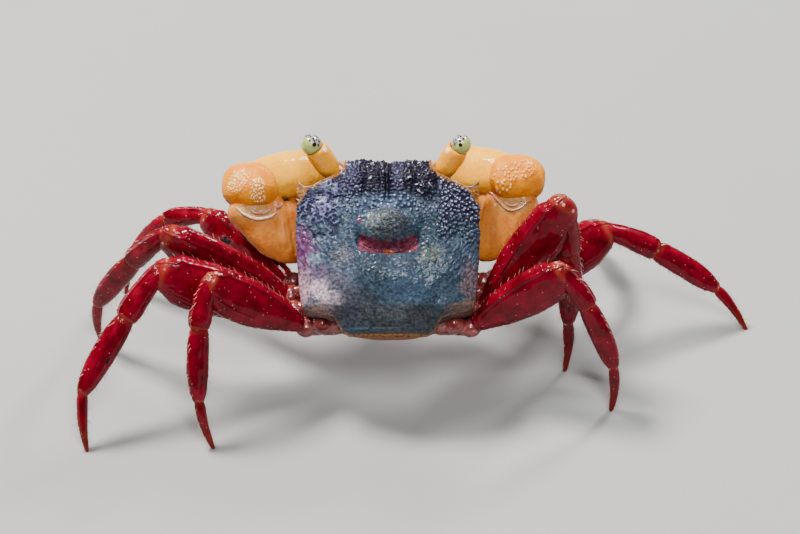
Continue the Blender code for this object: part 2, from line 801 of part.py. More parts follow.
def trim_to_floor(obj):
    """Cuts a toe off flat at the floor."""
    form = bmesh.new()
    form.from_mesh(obj.data)
    everything = form.verts[:] + form.edges[:] + form.faces[:]
    cut = bmesh.ops.bisect_plane(
        form, geom=everything, dist=1e-8, plane_co=(0, 0, 0), plane_no=(0, 0, -1), clear_outer=True
    )
    edges = [item for item in cut["geom_cut"] if isinstance(item, bmesh.types.BMEdge)]
    bmesh.ops.contextual_create(form, geom=edges)
    bmesh.ops.recalc_face_normals(form, faces=form.faces[:])
    form.to_mesh(obj.data)
    form.free()


def build_leg(side, number):
    points, ahead, up = leg_joints(side, number)
    merus_breadth, shin_breadth = LEG_BREADTHS[number]
    tag = f"leg{number}_{side}_"
    root, knee, ankle, heel, toe = points
    coxa_start = to_world(sided(COXA_ROOTS[number], side))
    thick = merus_breadth * COXA_BREADTH
    coxa_rows = [(row[0], *(size * thick for size in row[1:])) for row in COXA_ROWS]
    forward = Vector((0, 1, 0))
    coxa = loft_between(tag + "coxa", coxa_start, root, forward, coxa_rows, "leg", SIDES_OF_A_COXA)
    pieces = [coxa]
    for kind, start, end, rows, breadth in (
        ("merus", root, knee, MERUS_ROWS, merus_breadth),
        ("carpus", knee, ankle, CARPUS_ROWS, shin_breadth),
        ("propodus", ankle, heel, PROPODUS_ROWS, shin_breadth),
        ("dactylus", heel, toe, DACTYLUS_ROWS, shin_breadth),
    ):
        sides = SIDES_OF_A_TOE if kind == "dactylus" else SIDES_OF_A_LEG
        pieces.append(
            leg_segment(tag + kind, start, end, ahead, up, rows, breadth, BOWS[kind], sides)
        )
    trim_to_floor(pieces[-1])
    for segment, after in zip(pieces, pieces[1:]):
        make_room(segment, after)
    return pieces


def main():
    clear_scene()
    carapace = build_carapace()
    underside = build_underside()
    abdomen = build_abdomen()
    make_room(underside, carapace, BODY_GAP)
    make_room(underside, abdomen, BODY_GAP)
    make_room(abdomen, carapace, BODY_GAP)
    for side in ("left", "right"):
        mouth = build_mouth(side)
        make_room(underside, mouth, JOINT_GAP)
        stalk, cornea = build_eye(side)
        make_room(carapace, stalk)
        antenna = build_antenna(side)
        make_room(carapace, antenna)
        make_room(underside, antenna)
        arm, hand = build_claw(side)[::2]
        make_room(carapace, arm)
        make_room(underside, arm)
        make_room(mouth, hand)
        make_room(antenna, hand)
        make_room(arm, hand)
        make_room(carapace, hand)
        ahead = None
        for number in LEG_ROOTS:
            coxa, merus = build_leg(side, number)[:2]
            if ahead:
                make_room(ahead, merus)
            ahead = merus
            make_room(carapace, coxa)
            make_room(underside, coxa)
            make_room(abdomen, coxa)
            make_room(carapace, merus)
            make_room(underside, merus)


main()
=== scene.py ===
"""Vampire crab, life size: the finished skin of every shell piece, the eyes, joints and bristles.

Lengths in the tables are millimetres and angles are degrees; meshes are made in metres.
World frame: +X is the animal's right, +Y is ahead of it, +Z is up and the floor is z = 0.
Body frame: the same directions before the body is pitched nose up, with its origin in the
middle of the back.
"""

import json
import math

import bpy
import numpy as np
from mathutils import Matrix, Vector

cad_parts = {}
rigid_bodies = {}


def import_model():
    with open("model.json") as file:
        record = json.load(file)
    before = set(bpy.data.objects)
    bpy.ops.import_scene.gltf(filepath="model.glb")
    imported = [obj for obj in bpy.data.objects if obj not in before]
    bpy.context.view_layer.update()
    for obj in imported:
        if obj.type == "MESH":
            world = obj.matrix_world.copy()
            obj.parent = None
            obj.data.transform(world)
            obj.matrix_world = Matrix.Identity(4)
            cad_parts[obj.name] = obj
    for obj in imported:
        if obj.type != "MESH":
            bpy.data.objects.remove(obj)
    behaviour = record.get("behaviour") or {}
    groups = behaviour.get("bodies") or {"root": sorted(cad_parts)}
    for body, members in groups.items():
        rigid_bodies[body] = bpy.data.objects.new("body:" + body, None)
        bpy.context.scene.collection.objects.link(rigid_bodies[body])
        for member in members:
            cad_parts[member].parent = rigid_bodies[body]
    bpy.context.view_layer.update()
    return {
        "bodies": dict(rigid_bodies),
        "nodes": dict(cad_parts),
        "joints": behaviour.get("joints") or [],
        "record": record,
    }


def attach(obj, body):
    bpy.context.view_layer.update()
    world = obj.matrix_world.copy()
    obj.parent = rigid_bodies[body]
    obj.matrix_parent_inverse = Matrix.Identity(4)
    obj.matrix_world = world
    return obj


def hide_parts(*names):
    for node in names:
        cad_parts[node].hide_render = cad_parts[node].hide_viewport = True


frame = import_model()

MM = 0.001
BODY = "root"
SIDES = ("left", "right")
# +x is the right side of the crab
SIGN = {"left": -1.0, "right": 1.0}

# Stance of the body
BODY_PITCH = 33.0
BODY_PLACE = np.array((-2.962, -4.174, 16.15))

# Camera: its place and the way it looks down
CAMERA_PLACE = (-1.853, -228.476, 215.33)
CAMERA_DOWN = 42.0
CAMERA_LENS = 146.1


# Numbers and frames


def curve_through(rows, at):
    """Every column of the rows at position `at` of the first, joined smoothly and with no overshoot."""
    table = np.array(rows, float)
    xs = table[:, 0]
    ys = table[:, 1:]
    at = min(max(at, xs[0]), xs[-1])
    steps = np.diff(xs)[:, None]
    slopes = np.diff(ys, axis=0) / steps
    tangents = np.zeros_like(ys)
    tangents[0] = slopes[0]
    tangents[-1] = slopes[-1]
    same_way = slopes[:-1] * slopes[1:] > 0
    harmonic = 2 * slopes[:-1] * slopes[1:] / np.where(same_way, slopes[:-1] + slopes[1:], 1)
    tangents[1:-1] = np.where(same_way, harmonic, 0)
    i = int(min(np.searchsorted(xs, at, side="right") - 1, len(xs) - 2))
    h = xs[i + 1] - xs[i]
    t = (at - xs[i]) / h
    return (
        ys[i] * (1 + 2 * t) * (1 - t) ** 2
        + tangents[i] * h * t * (1 - t) ** 2
        + ys[i + 1] * t * t * (3 - 2 * t)
        + tangents[i + 1] * h * t * t * (t - 1)
    )


def turn_matrix():
    pitch = math.radians(BODY_PITCH)
    c, s = math.cos(pitch), math.sin(pitch)
    return np.array(((1, 0, 0), (0, c, -s), (0, s, c)))


def to_world(points):
    """Body frame points, pitched and lifted into the world frame."""
    return np.asarray(points, float) @ turn_matrix().T + BODY_PLACE


def to_body(points):
    return (np.asarray(points, float) - BODY_PLACE) @ turn_matrix()


def mirrored(point, side):
    """A right side point, mirrored for the left side."""
    return np.array((point[0] * SIGN[side], point[1], point[2]), float)


def unit(vector):
    vector = np.asarray(vector, float)
    return vector / np.linalg.norm(vector)


def hump(away, width):
    """A bell curve, 1 where away is 0."""
    return np.exp(-((away / width) ** 2))


def line_distance(x, y, line, shift=(0, 0)):
    """Distance in plan from a bent line, which may be shifted first."""
    away = np.full(len(x), 99.0)
    moved = [(px + shift[0], py + shift[1]) for px, py in line]
    for (ax, ay), (bx, by) in zip(moved, moved[1:]):
        span = np.array((bx - ax, by - ay))
        t = np.clip(((x - ax) * span[0] + (y - ay) * span[1]) / span.dot(span), 0, 1)
        away = np.minimum(away, np.hypot(x - ax - t * span[0], y - ay - t * span[1]))
    return away


def full_turn(count):
    return np.linspace(0, 2 * math.pi, count, endpoint=False)


def spokes(turn, across, rise):
    """Unit spokes of a ring, for its angles and its two axes."""
    return np.outer(np.cos(turn), across) + np.outer(np.sin(turn), rise)


def smooth_step(low, high, value):
    t = np.clip((value - low) / (high - low), 0, 1)
    return t * t * (3 - 2 * t)


def chance(i, j, k, seed):
    """A number from 0 to 1 for each lattice cell, always the same for the same cell."""
    mixed = (i * 73856093) ^ (j * 19349663) ^ (k * 83492791) ^ (seed * 26544357)
    mixed = (mixed ^ (mixed >> 13)) * 1274126177
    mixed = (mixed ^ (mixed >> 16)) & 0xFFFFFF
    return mixed / 0xFFFFFF


# Turns the bead lattice so that its rows never line up with the body
LATTICE_TURN = np.array(((0.6124, -0.5, 0.6124), (0.7071, 0.7071, 0.0), (-0.3536, 0.5, 0.7906)))


def beads(points, cell, seed, fullness=0.62, share=1.0):
    """Height from 0 to 1 of rounded beads strewn through space, with one in a share of the cells."""
    spots = np.asarray(points) @ LATTICE_TURN / cell
    base = np.floor(spots).astype(np.int64)
    height = np.zeros(len(spots))
    for di in (-1, 0, 1):
        for dj in (-1, 0, 1):
            for dk in (-1, 0, 1):
                i, j, k = base[:, 0] + di, base[:, 1] + dj, base[:, 2] + dk
                centre = np.stack(
                    (
                        i + 0.05 + 0.9 * chance(i, j, k, seed),
                        j + 0.05 + 0.9 * chance(i, j, k, seed + 1),
                        k + 0.05 + 0.9 * chance(i, j, k, seed + 2),
                    ),
                    1,
                )
                reach = fullness * (0.75 + 0.25 * chance(i, j, k, seed + 3))
                away = ((spots - centre) ** 2).sum(1) / reach**2
                bead = np.sqrt(np.clip(1 - away, 0, 1)) * (chance(i, j, k, seed + 4) < share)
                height = np.maximum(height, bead)
    return height


def studs(x, y, cell, seed, size, share=1.0):
    """Height from 0 to 1 of round studs of about one size, set unevenly over a plane."""
    a, b = (0.88 * x - 0.475 * y) / cell, (0.475 * x + 0.88 * y) / cell
    i, j = np.floor(a).astype(int), np.floor(b).astype(int)
    height = np.zeros(len(x))
    for p in (-1, 0, 1):
        for q in (-1, 0, 1):
            across, along = i + p, j + q
            middle_a = across + 0.5 + 0.8 * (chance(across, along, 1, seed) - 0.5)
            middle_b = along + 0.5 + 0.8 * (chance(across, along, 2, seed) - 0.5)
            reach = size / cell * (0.68 + 0.5 * chance(across, along, 4, seed))
            away = ((a - middle_a) ** 2 + (b - middle_b) ** 2) / reach**2
            stud = np.sqrt(np.clip(1 - away, 0, 1)) * (chance(across, along, 3, seed) < share)
            height = np.maximum(height, stud)
    return height


def drift(points, size, seed):
    """Smooth unevenness from -1 to 1 with lumps about `size` across."""
    spots = np.asarray(points) / size
    base = np.floor(spots).astype(np.int64)
    part = spots - base
    part = part * part * (3 - 2 * part)
    total = np.zeros(len(spots))
    for di in (0, 1):
        for dj in (0, 1):
            for dk in (0, 1):
                share = np.prod(
                    np.stack(
                        (
                            part[:, 0] if di else 1 - part[:, 0],
                            part[:, 1] if dj else 1 - part[:, 1],
                            part[:, 2] if dk else 1 - part[:, 2],
                        )
                    ),
                    axis=0,
                )
                total += share * chance(base[:, 0] + di, base[:, 1] + dj, base[:, 2] + dk, seed)
    return total * 2 - 1


# Meshes


def nothing_selected():
    bpy.ops.object.select_all(action="DESELECT")


def only(piece):
    nothing_selected()
    piece.select_set(True)
    bpy.context.view_layer.objects.active = piece


def read_points(piece):
    """The piece's points in millimetres."""
    flat = np.empty(len(piece.data.vertices) * 3, np.float32)
    piece.data.vertices.foreach_get("co", flat)
    return flat.reshape(-1, 3).astype(float) / MM


def write_points(piece, points):
    piece.data.vertices.foreach_set("co", (points * MM).astype(np.float32).ravel())
    piece.data.update()


def read_normals(piece):
    flat = np.empty(len(piece.data.vertices) * 3, np.float32)
    piece.data.vertices.foreach_get("normal", flat)
    return flat.reshape(-1, 3).astype(float)


def surface_of(piece):
    """The piece's points, their normals and their places in the body frame."""
    points = read_points(piece)
    return points, read_normals(piece), to_body(points)


def push_out(piece, points, normals, lift):
    """Moves each point along its normal."""
    write_points(piece, points + normals * lift[:, None])


def mark(piece, name, values):
    """Keeps a value for every point, which the piece's material reads."""
    layer = piece.data.attributes.get(name) or piece.data.attributes.new(name, "FLOAT", "POINT")
    layer.data.foreach_set("value", np.asarray(values, np.float32))


def new_mesh(name, points, faces):
    mesh = bpy.data.meshes.new(name)
    mesh.from_pydata((np.asarray(points) * MM).tolist(), [], faces)
    mesh.update()
    piece = bpy.data.objects.new(name, mesh)
    bpy.context.scene.collection.objects.link(piece)
    return piece


def skin_over(name, rings):
    """A closed mesh over rings of points, each end closed to a point at its middle."""
    rings = np.asarray(rings, float)
    rows, count = rings.shape[:2]
    points = np.concatenate((rings.reshape(-1, 3), rings[:1].mean(1), rings[-1:].mean(1)))
    faces = []
    for r in range(rows - 1):
        for i in range(count):
            j = (i + 1) % count
            faces.append((r * count + i, r * count + j, (r + 1) * count + j, (r + 1) * count + i))
    first, last = rows * count, rows * count + 1
    for i in range(count):
        j = (i + 1) % count
        faces.append((first, j, i))
        faces.append((last, (rows - 1) * count + i, (rows - 1) * count + j))
    piece = new_mesh(name, points, faces)
    face_out(piece)
    return piece


def face_out(piece):
    only(piece)
    bpy.ops.object.mode_set(mode="EDIT")
    bpy.ops.mesh.select_all(action="SELECT")
    bpy.ops.mesh.normals_make_consistent(inside=False)
    bpy.ops.object.mode_set(mode="OBJECT")


def smoothed(piece, levels):
    """Rounds the piece with a finished subdivision surface."""
    only(piece)
    finer = piece.modifiers.new("finer", "SUBSURF")
    finer.levels = levels
    finer.render_levels = levels
    bpy.ops.object.modifier_apply(modifier=finer.name)
    bpy.ops.object.shade_smooth()


def copy_of(master, name):
    piece = bpy.data.objects.new(name, master.data.copy())
    piece.data.name = name
    bpy.context.scene.collection.objects.link(piece)
    return piece


def joined(name, pieces):
    nothing_selected()
    for piece in pieces:
        piece.select_set(True)
    bpy.context.view_layer.objects.active = pieces[0]
    if len(pieces) > 1:
        bpy.ops.object.join()
    pieces[0].name = name
    pieces[0].data.name = name
    return pieces[0]


def cut_with(piece, cutter):
    """Takes the cutter's shape out of the piece and removes the cutter."""
    only(piece)
    cut = piece.modifiers.new("cut", "BOOLEAN")
    cut.operation = "DIFFERENCE"
    cut.solver = "MANIFOLD"
    cut.object = cutter
    bpy.ops.object.modifier_apply(modifier=cut.name)
    bpy.data.objects.remove(cutter, do_unlink=True)


def put_on(piece, slot, material, *nodes):
    """Hands a finished piece to the body, with its finish and the CAD nodes that it stands for."""
    piece.data.materials.clear()
    piece.data.materials.append(material)
    only(piece)
    bpy.ops.object.shade_smooth()
    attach(piece, BODY)
    if nodes:
        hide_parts(*nodes)
    return piece


def ringed_form(name, rows, sides):
    """A closed form drawn out along +Z, one ring to a row: height, reach up, reach down, half
    thickness. It is made a little large, because the rounding that follows shrinks it."""
    keep = 3 / (2 + math.cos(2 * math.pi / sides))
    nothing_selected()
    bpy.ops.mesh.primitive_circle_add(vertices=sides, radius=1, fill_type="NGON")
    piece = bpy.context.active_object
    piece.name = name
    bpy.ops.object.mode_set(mode="EDIT")
    bpy.ops.mesh.select_all(action="SELECT")
    height, above, below, half = rows[0]
    bpy.ops.transform.resize(value=(half * keep, (above + below) / 2 * keep, 1), center_override=(0, 0, 0))
    bpy.ops.transform.translate(value=(0, (above - below) / 2, height))
    for row in rows[1:]:
        old_middle = (above - below) / 2
        old_reach = (above + below) / 2
        middle = (row[1] - row[2]) / 2
        reach = (row[1] + row[2]) / 2
        step = (0, middle - old_middle, row[0] - height)
        bpy.ops.mesh.extrude_region_move(TRANSFORM_OT_translate={"value": step})
        bpy.ops.transform.resize(
            value=(row[3] / half, reach / old_reach, 1), center_override=(0, middle, row[0])
        )
        height, above, below, half = row
    bpy.ops.mesh.select_all(action="SELECT")
    bpy.ops.mesh.normals_make_consistent(inside=False)
    bpy.ops.object.mode_set(mode="OBJECT")
    return piece


def remove(piece):
    bpy.data.objects.remove(piece, do_unlink=True)


# Materials


class Finish:
    """A material under construction, or a node group, with short ways to add nodes to it."""

    def __init__(self, tree):
        self.tree = tree

    def node(self, kind, sockets=None, **settings):
        made = self.tree.nodes.new(kind)
        for key, value in settings.items():
            setattr(made, key, value)
        for key, value in (sockets or {}).items():
            self.feed(made.inputs[key], value)
        return made

    def feed(self, socket, value):
        if isinstance(value, bpy.types.NodeSocket):
            self.tree.links.new(value, socket)
        elif isinstance(value, (tuple, list)) and len(value) == 3 and socket.type == "RGBA":
            socket.default_value = (*value, 1)
        else:
            socket.default_value = value

    def mixed(self, share, first, second, blend="MIX"):
        made = self.tree.nodes.new("ShaderNodeMix")
        made.data_type = "RGBA"
        made.blend_type = blend
        self.feed(made.inputs[0], share)
        self.feed(made.inputs[6], first)
        self.feed(made.inputs[7], second)
        return made.outputs[2]

    def sum(self, kind, *values):
        made = self.tree.nodes.new("ShaderNodeMath")
        made.operation = kind
        for socket, value in zip(made.inputs, values):
            self.feed(socket, value)
        return made.outputs[0]

    def ranged(self, value, low, high, start=0.0, end=1.0):
        made = self.node("ShaderNodeMapRange", {"Value": value, "From Min": low, "From Max": high})
        made.inputs["To Min"].default_value = start
        made.inputs["To Max"].default_value = end
        return made.outputs["Result"]

    def noise(self, vector, scale, detail=3.0, rough=0.55):
        sockets = {"Vector": vector, "Scale": scale, "Detail": detail, "Roughness": rough}
        return self.node("ShaderNodeTexNoise", sockets)

    def value_of(self, name):
        made = self.node("ShaderNodeAttribute", attribute_name=name)
        return made.outputs["Fac"]

    def mottle(self, place, scale, light, dark, contrast):
        """Two colours in uneven clouds."""
        clouds = self.group("Mottle", Vector=place, Scale=scale, Light=light, Dark=dark, Contrast=contrast)
        return clouds["Color"]

    def washed(self, base, mask, strength, colour):
        """The base with a wash of colour over it where the mask is."""
        return self.mixed(self.sum("MULTIPLY", mask, strength), base, colour)

    def group(self, name, **sockets):
        made = self.node("ShaderNodeGroup", node_tree=bpy.data.node_groups[name])
        for key, value in sockets.items():
            self.feed(made.inputs[key.replace("_", " ")], value)
        return made.outputs


def new_group(name, inputs, outputs):
    """An empty node group with named sockets. Returns its maker, its inputs and its output node."""
    tree = bpy.data.node_groups.new(name, "ShaderNodeTree")
    for label, kind in inputs.items():
        tree.interface.new_socket(label, in_out="INPUT", socket_type="NodeSocket" + kind)
    for label, kind in outputs.items():
        tree.interface.new_socket(label, in_out="OUTPUT", socket_type="NodeSocket" + kind)
    source = tree.nodes.new("NodeGroupInput")
    target = tree.nodes.new("NodeGroupOutput")
    return Finish(tree), source.outputs, target.inputs


def make_groups():
    # Patch: a soft ragged blot around a centre
    maker, given, out = new_group(
        "Patch", {"Vector": "Vector", "Centre": "Vector", "Reach": "Vector"}, {"Mask": "Float"}
    )
    away = maker.node("ShaderNodeVectorMath", operation="SUBTRACT")
    maker.feed(away.inputs[0], given["Vector"])
    maker.feed(away.inputs[1], given["Centre"])
    scaled = maker.node("ShaderNodeVectorMath", operation="DIVIDE")
    maker.feed(scaled.inputs[0], away.outputs[0])
    maker.feed(scaled.inputs[1], given["Reach"])
    length = maker.node("ShaderNodeVectorMath", operation="LENGTH")
    maker.feed(length.inputs[0], scaled.outputs[0])
    frayed = maker.noise(given["Vector"], 2.6, 5.0, 0.65)
    uneven = maker.ranged(frayed.outputs["Fac"], 0.3, 0.7, -0.3, 0.3)
    fade = maker.node("ShaderNodeMapRange", interpolation_type="SMOOTHSTEP")
    maker.feed(fade.inputs["Value"], maker.sum("ADD", length.outputs["Value"], uneven))
    fade.inputs["From Min"].default_value = 1.1
    fade.inputs["From Max"].default_value = 0.5
    maker.feed(out["Mask"], fade.outputs["Result"])

    # Specks: small scattered dots
    maker, given, out = new_group(
        "Specks",
        {"Vector": "Vector", "Scale": "Float", "Size": "Float", "Share": "Float"},
        {"Mask": "Float"},
    )
    cells = maker.node("ShaderNodeTexVoronoi", {"Vector": given["Vector"], "Scale": given["Scale"]})
    dot = maker.sum("LESS_THAN", cells.outputs["Distance"], given["Size"])
    picked = maker.node("ShaderNodeSeparateColor", {"Color": cells.outputs["Color"]})
    some = maker.sum("LESS_THAN", picked.outputs[0], given["Share"])
    maker.feed(out["Mask"], maker.sum("MULTIPLY", dot, some))

    # Shell grain: the pores and fine lumps of hard skin, as a height
    maker, given, out = new_group(
        "Shell grain", {"Vector": "Vector", "Scale": "Float", "Pores": "Float"}, {"Height": "Float"}
    )
    lumps = maker.noise(given["Vector"], given["Scale"], 4.0, 0.6)
    finer = maker.sum("MULTIPLY", given["Scale"], 1.7)
    cells = maker.node("ShaderNodeTexVoronoi", {"Vector": given["Vector"], "Scale": finer})
    pits = maker.ranged(cells.outputs["Distance"], 0.0, 0.35)
    pores = maker.sum("MULTIPLY", pits, given["Pores"])
    maker.feed(out["Height"], maker.sum("ADD", lumps.outputs["Fac"], pores))

    # Mottle: two colours in uneven clouds
    maker, given, out = new_group(
        "Mottle",
        {"Vector": "Vector", "Scale": "Float", "Light": "Color", "Dark": "Color", "Contrast": "Float"},
        {"Color": "Color", "Mask": "Float"},
    )
    clouds = maker.noise(given["Vector"], given["Scale"], 5.0, 0.6)
    low = maker.sum("SUBTRACT", 0.5, given["Contrast"])
    high = maker.sum("ADD", 0.5, given["Contrast"])
    share = maker.ranged(clouds.outputs["Fac"], low, high)
    maker.feed(out["Color"], maker.mixed(share, given["Dark"], given["Light"]))
    maker.feed(out["Mask"], share)


def new_finish(name, roughness, coat=0.0, coat_roughness=0.1, specular=0.5):
    """A material with its Principled shader set, and the pattern place in millimetres."""
    made = bpy.data.materials.new(name)
    made.use_nodes = True
    maker = Finish(made.node_tree)
    shader = made.node_tree.nodes["Principled BSDF"]
    shader.inputs["Metallic"].default_value = 0
    shader.inputs["Roughness"].default_value = roughness
    shader.inputs["Coat Weight"].default_value = coat
    shader.inputs["Coat Roughness"].default_value = coat_roughness
    shader.inputs["Specular IOR Level"].default_value = specular
    place = maker.node("ShaderNodeTexCoord")
    scaled = maker.node("ShaderNodeMapping", {"Vector": place.outputs["Object"]})
    scaled.inputs["Scale"].default_value = (1 / MM, 1 / MM, 1 / MM)
    return made, maker, shader, scaled.outputs["Vector"]


def bumped(maker, shader, height, depth, distance=0.05):
    """Depth in millimetres."""
    made = maker.node("ShaderNodeBump", {"Height": height, "Strength": depth})
    made.inputs["Distance"].default_value = distance * MM
    maker.feed(shader.inputs["Normal"], made.outputs["Normal"])


def grained(maker, shader, place, scale, pores, depth, distance):
    grain = maker.group("Shell grain", Vector=place, Scale=scale, Pores=pores)["Height"]
    bumped(maker, shader, grain, depth, distance)


def uneven_gloss(maker, shader, place, scale, low, high):
    """Roughness that wanders between two values."""
    rough = maker.noise(place, scale, 3.0)
    maker.feed(shader.inputs["Roughness"], maker.ranged(rough.outputs["Fac"], 0.3, 0.7, low, high))


def lit_through(shader, weight, reach):
    """Lets light into the skin, `reach` in millimetres."""
    shader.inputs["Subsurface Weight"].default_value = weight
    shader.inputs["Subsurface Scale"].default_value = reach * MM


# Colours of the back, in the body frame: place, reach, colour, strength. A few rows are painted light or
# shade, as noted at them.
BACK_PATCHES = (
    ((0.0, 7.4, -1), (9.5, 2.9, 9), (0.006, 0.003, 0.01), 0.94),
    ((-6.3, 4.0, -1), (1.9, 2.1, 9), (0.025, 0.02, 0.056), 0.75),
    ((-3.7, 5.6, -1), (1.4, 1.4, 9), (0.024, 0.019, 0.042), 0.5),
    ((6.6, 4.2, -1), (2.0, 2.2, 9), (0.006, 0.005, 0.018), 0.88),
    ((-3.2, 2.9, -1), (2.2, 1.9, 9), (0.017, 0.04, 0.06), 0.8),
    ((4.4, 2.0, -1), (2.8, 2.8, 9), (0.012, 0.027, 0.042), 0.8),
    ((0.0, 4.1, -1), (3.2, 0.9, 9), (0.02, 0.045, 0.075), 0.8),
    ((0.0, 1.9, -1), (2.2, 1.9, 9), (0.035, 0.042, 0.04), 0.9),
    # Lighter left side and darker right side of the raised middle of the back: painted light and painted
    # shade.
    ((-1.3, 2.2, -1), (1.0, 1.2, 9), (0.12, 0.14, 0.14), 0.7),
    ((1.0, 2.2, -1), (1.0, 0.8, 9), (0.02, 0.024, 0.022), 0.7),
    ((-7.9, -0.4, -1), (1.5, 3.0, 9), (0.1, 0.02, 0.075), 0.85),
    ((-6.4, -2.7, -1), (1.2, 1.0, 9), (0.1, 0.045, 0.11), 0.7),
    ((-6.8, -1.2, -1), (0.8, 0.7, 9), (0.15, 0.21, 0.26), 0.7),
    ((-4.3, -1.0, -1), (1.3, 1.0, 9), (0.085, 0.075, 0.08), 0.5),
    ((-5.8, -4.0, -1), (3.2, 2.4, 9), (0.1, 0.09, 0.115), 0.6),
    # Two whitish patches at the left rear: pale pinkish shell colour with a painted highlight over it.
    ((-6.7, -3.9, -1), (1.4, 0.9, 9), (0.46, 0.33, 0.38), 0.75),
    ((-5.4, -4.9, -1), (1.5, 0.8, 9), (0.5, 0.4, 0.46), 0.75),
    ((-8.0, -3.6, -1), (0.9, 2.3, 9), (0.3, 0.17, 0.2), 0.75),
    ((7.7, -3.4, -1), (1.3, 2.4, 9), (0.085, 0.055, 0.064), 0.85),
    ((4.1, -0.7, -1), (1.2, 0.9, 9), (0.06, 0.07, 0.05), 0.65),
    ((2.2, -3.9, -1), (3.0, 2.0, 9), (0.028, 0.05, 0.082), 0.7),
    ((-3.4, -5.6, -1), (2.6, 2.0, 9), (0.028, 0.026, 0.032), 0.75),
    ((1.5, -6.8, -1), (5.2, 1.5, 9), (0.04, 0.038, 0.036), 0.6),
    ((7.1, -5.8, -1), (2.0, 1.0, 9), (0.1, 0.055, 0.04), 0.75),
    ((-6.9, -6.1, -1), (2.2, 0.9, 9), (0.2, 0.11, 0.1), 0.75),
)
# The crescent groove's colour and the small spots beside it
SMILE_RED = (0.13, 0.024, 0.042)
SPOTS = (
    ((-2.7, 2.4, 0), (0.34, 0.3, 9), (0.1, 0.008, 0.04), 0.85),
    ((0.1, -0.52, 0), (0.62, 0.3, 9), (0.42, 0.1, 0.012), 0.85),
)


def body_mapped(scaled):
    """Turns a Mapping node to give body frame places in millimetres."""
    local = -(turn_matrix().T @ BODY_PLACE)
    scaled.inputs["Rotation"].default_value = (-math.radians(BODY_PITCH), 0, 0)
    scaled.inputs["Location"].default_value = tuple(local)


def carapace_finish():
    made, maker, shader, place = new_finish("carapace shell", 0.3, 0.24, 0.12, 0.07)
    body_mapped(place.node)
    sway = maker.noise(place, 0.9, 4.0, 0.6)
    shift = maker.node("ShaderNodeVectorMath", operation="MULTIPLY_ADD")
    maker.feed(shift.inputs[0], sway.outputs["Color"])
    shift.inputs[1].default_value = (1.6, 1.6, 0)
    away = maker.node("ShaderNodeVectorMath", operation="ADD")
    maker.feed(away.inputs[0], place)
    away.inputs[1].default_value = (-0.8, -0.8, 0)
    maker.feed(shift.inputs[2], away.outputs[0])
    ragged = shift.outputs[0]
    base = maker.mottle(place, 0.8, (0.03, 0.05, 0.072), (0.012, 0.022, 0.033), 0.16)
    for centre, reach, colour, strength in BACK_PATCHES:
        mask = maker.group("Patch", Vector=ragged, Centre=centre, Reach=reach)["Mask"]
        base = maker.washed(base, mask, strength, colour)
    base = maker.mixed(maker.value_of("smile"), base, SMILE_RED)
    for centre, reach, colour, strength in SPOTS:
        mask = maker.group("Patch", Vector=place, Centre=centre, Reach=reach)["Mask"]
        base = maker.washed(base, mask, strength, colour)
    fine = maker.mottle(place, 3.6, (1.95, 1.95, 1.9), (0.45, 0.45, 0.47), 0.12)
    base = maker.mixed(0.8, base, fine, "MULTIPLY")
    raised = maker.value_of("raised")
    lilac = maker.value_of("lilac")
    sheen = maker.mixed(lilac, (0.014, 0.007, 0.024), (0.14, 0.15, 0.29))
    base = maker.mixed(maker.ranged(raised, 0.45, 0.9, 0.0, 0.8), base, sheen)
    uneven = maker.noise(place, 1.3, 3.0)
    bright = maker.ranged(uneven.outputs["Fac"], 0.38, 0.6, 0.25, 1.0)
    glint = maker.sum("MULTIPLY", maker.ranged(raised, 0.91, 1.0, 0.0, 0.9), bright)
    base = maker.mixed(glint, base, (0.68, 0.69, 0.84))
    # Darkens the hollows between the beads: partly the shell's dark colour there, partly painted shade.
    hollow = maker.ranged(raised, 0.05, 0.4, 0.85, 0.0)
    base = maker.mixed(hollow, base, maker.mixed(lilac, (0.003, 0.002, 0.007), (0.022, 0.02, 0.055)))
    edge = maker.value_of("edge")
    tan = maker.mottle(place, 3.0, (0.42, 0.17, 0.03), (0.08, 0.025, 0.004), 0.15)
    base = maker.washed(base, edge, 0.9, tan)
    maker.feed(shader.inputs["Base Color"], base)
    uneven_gloss(maker, shader, place, 2.5, 0.27, 0.45)
    grained(maker, shader, place, 4.5, 0.5, 0.8, 0.1)
    return made


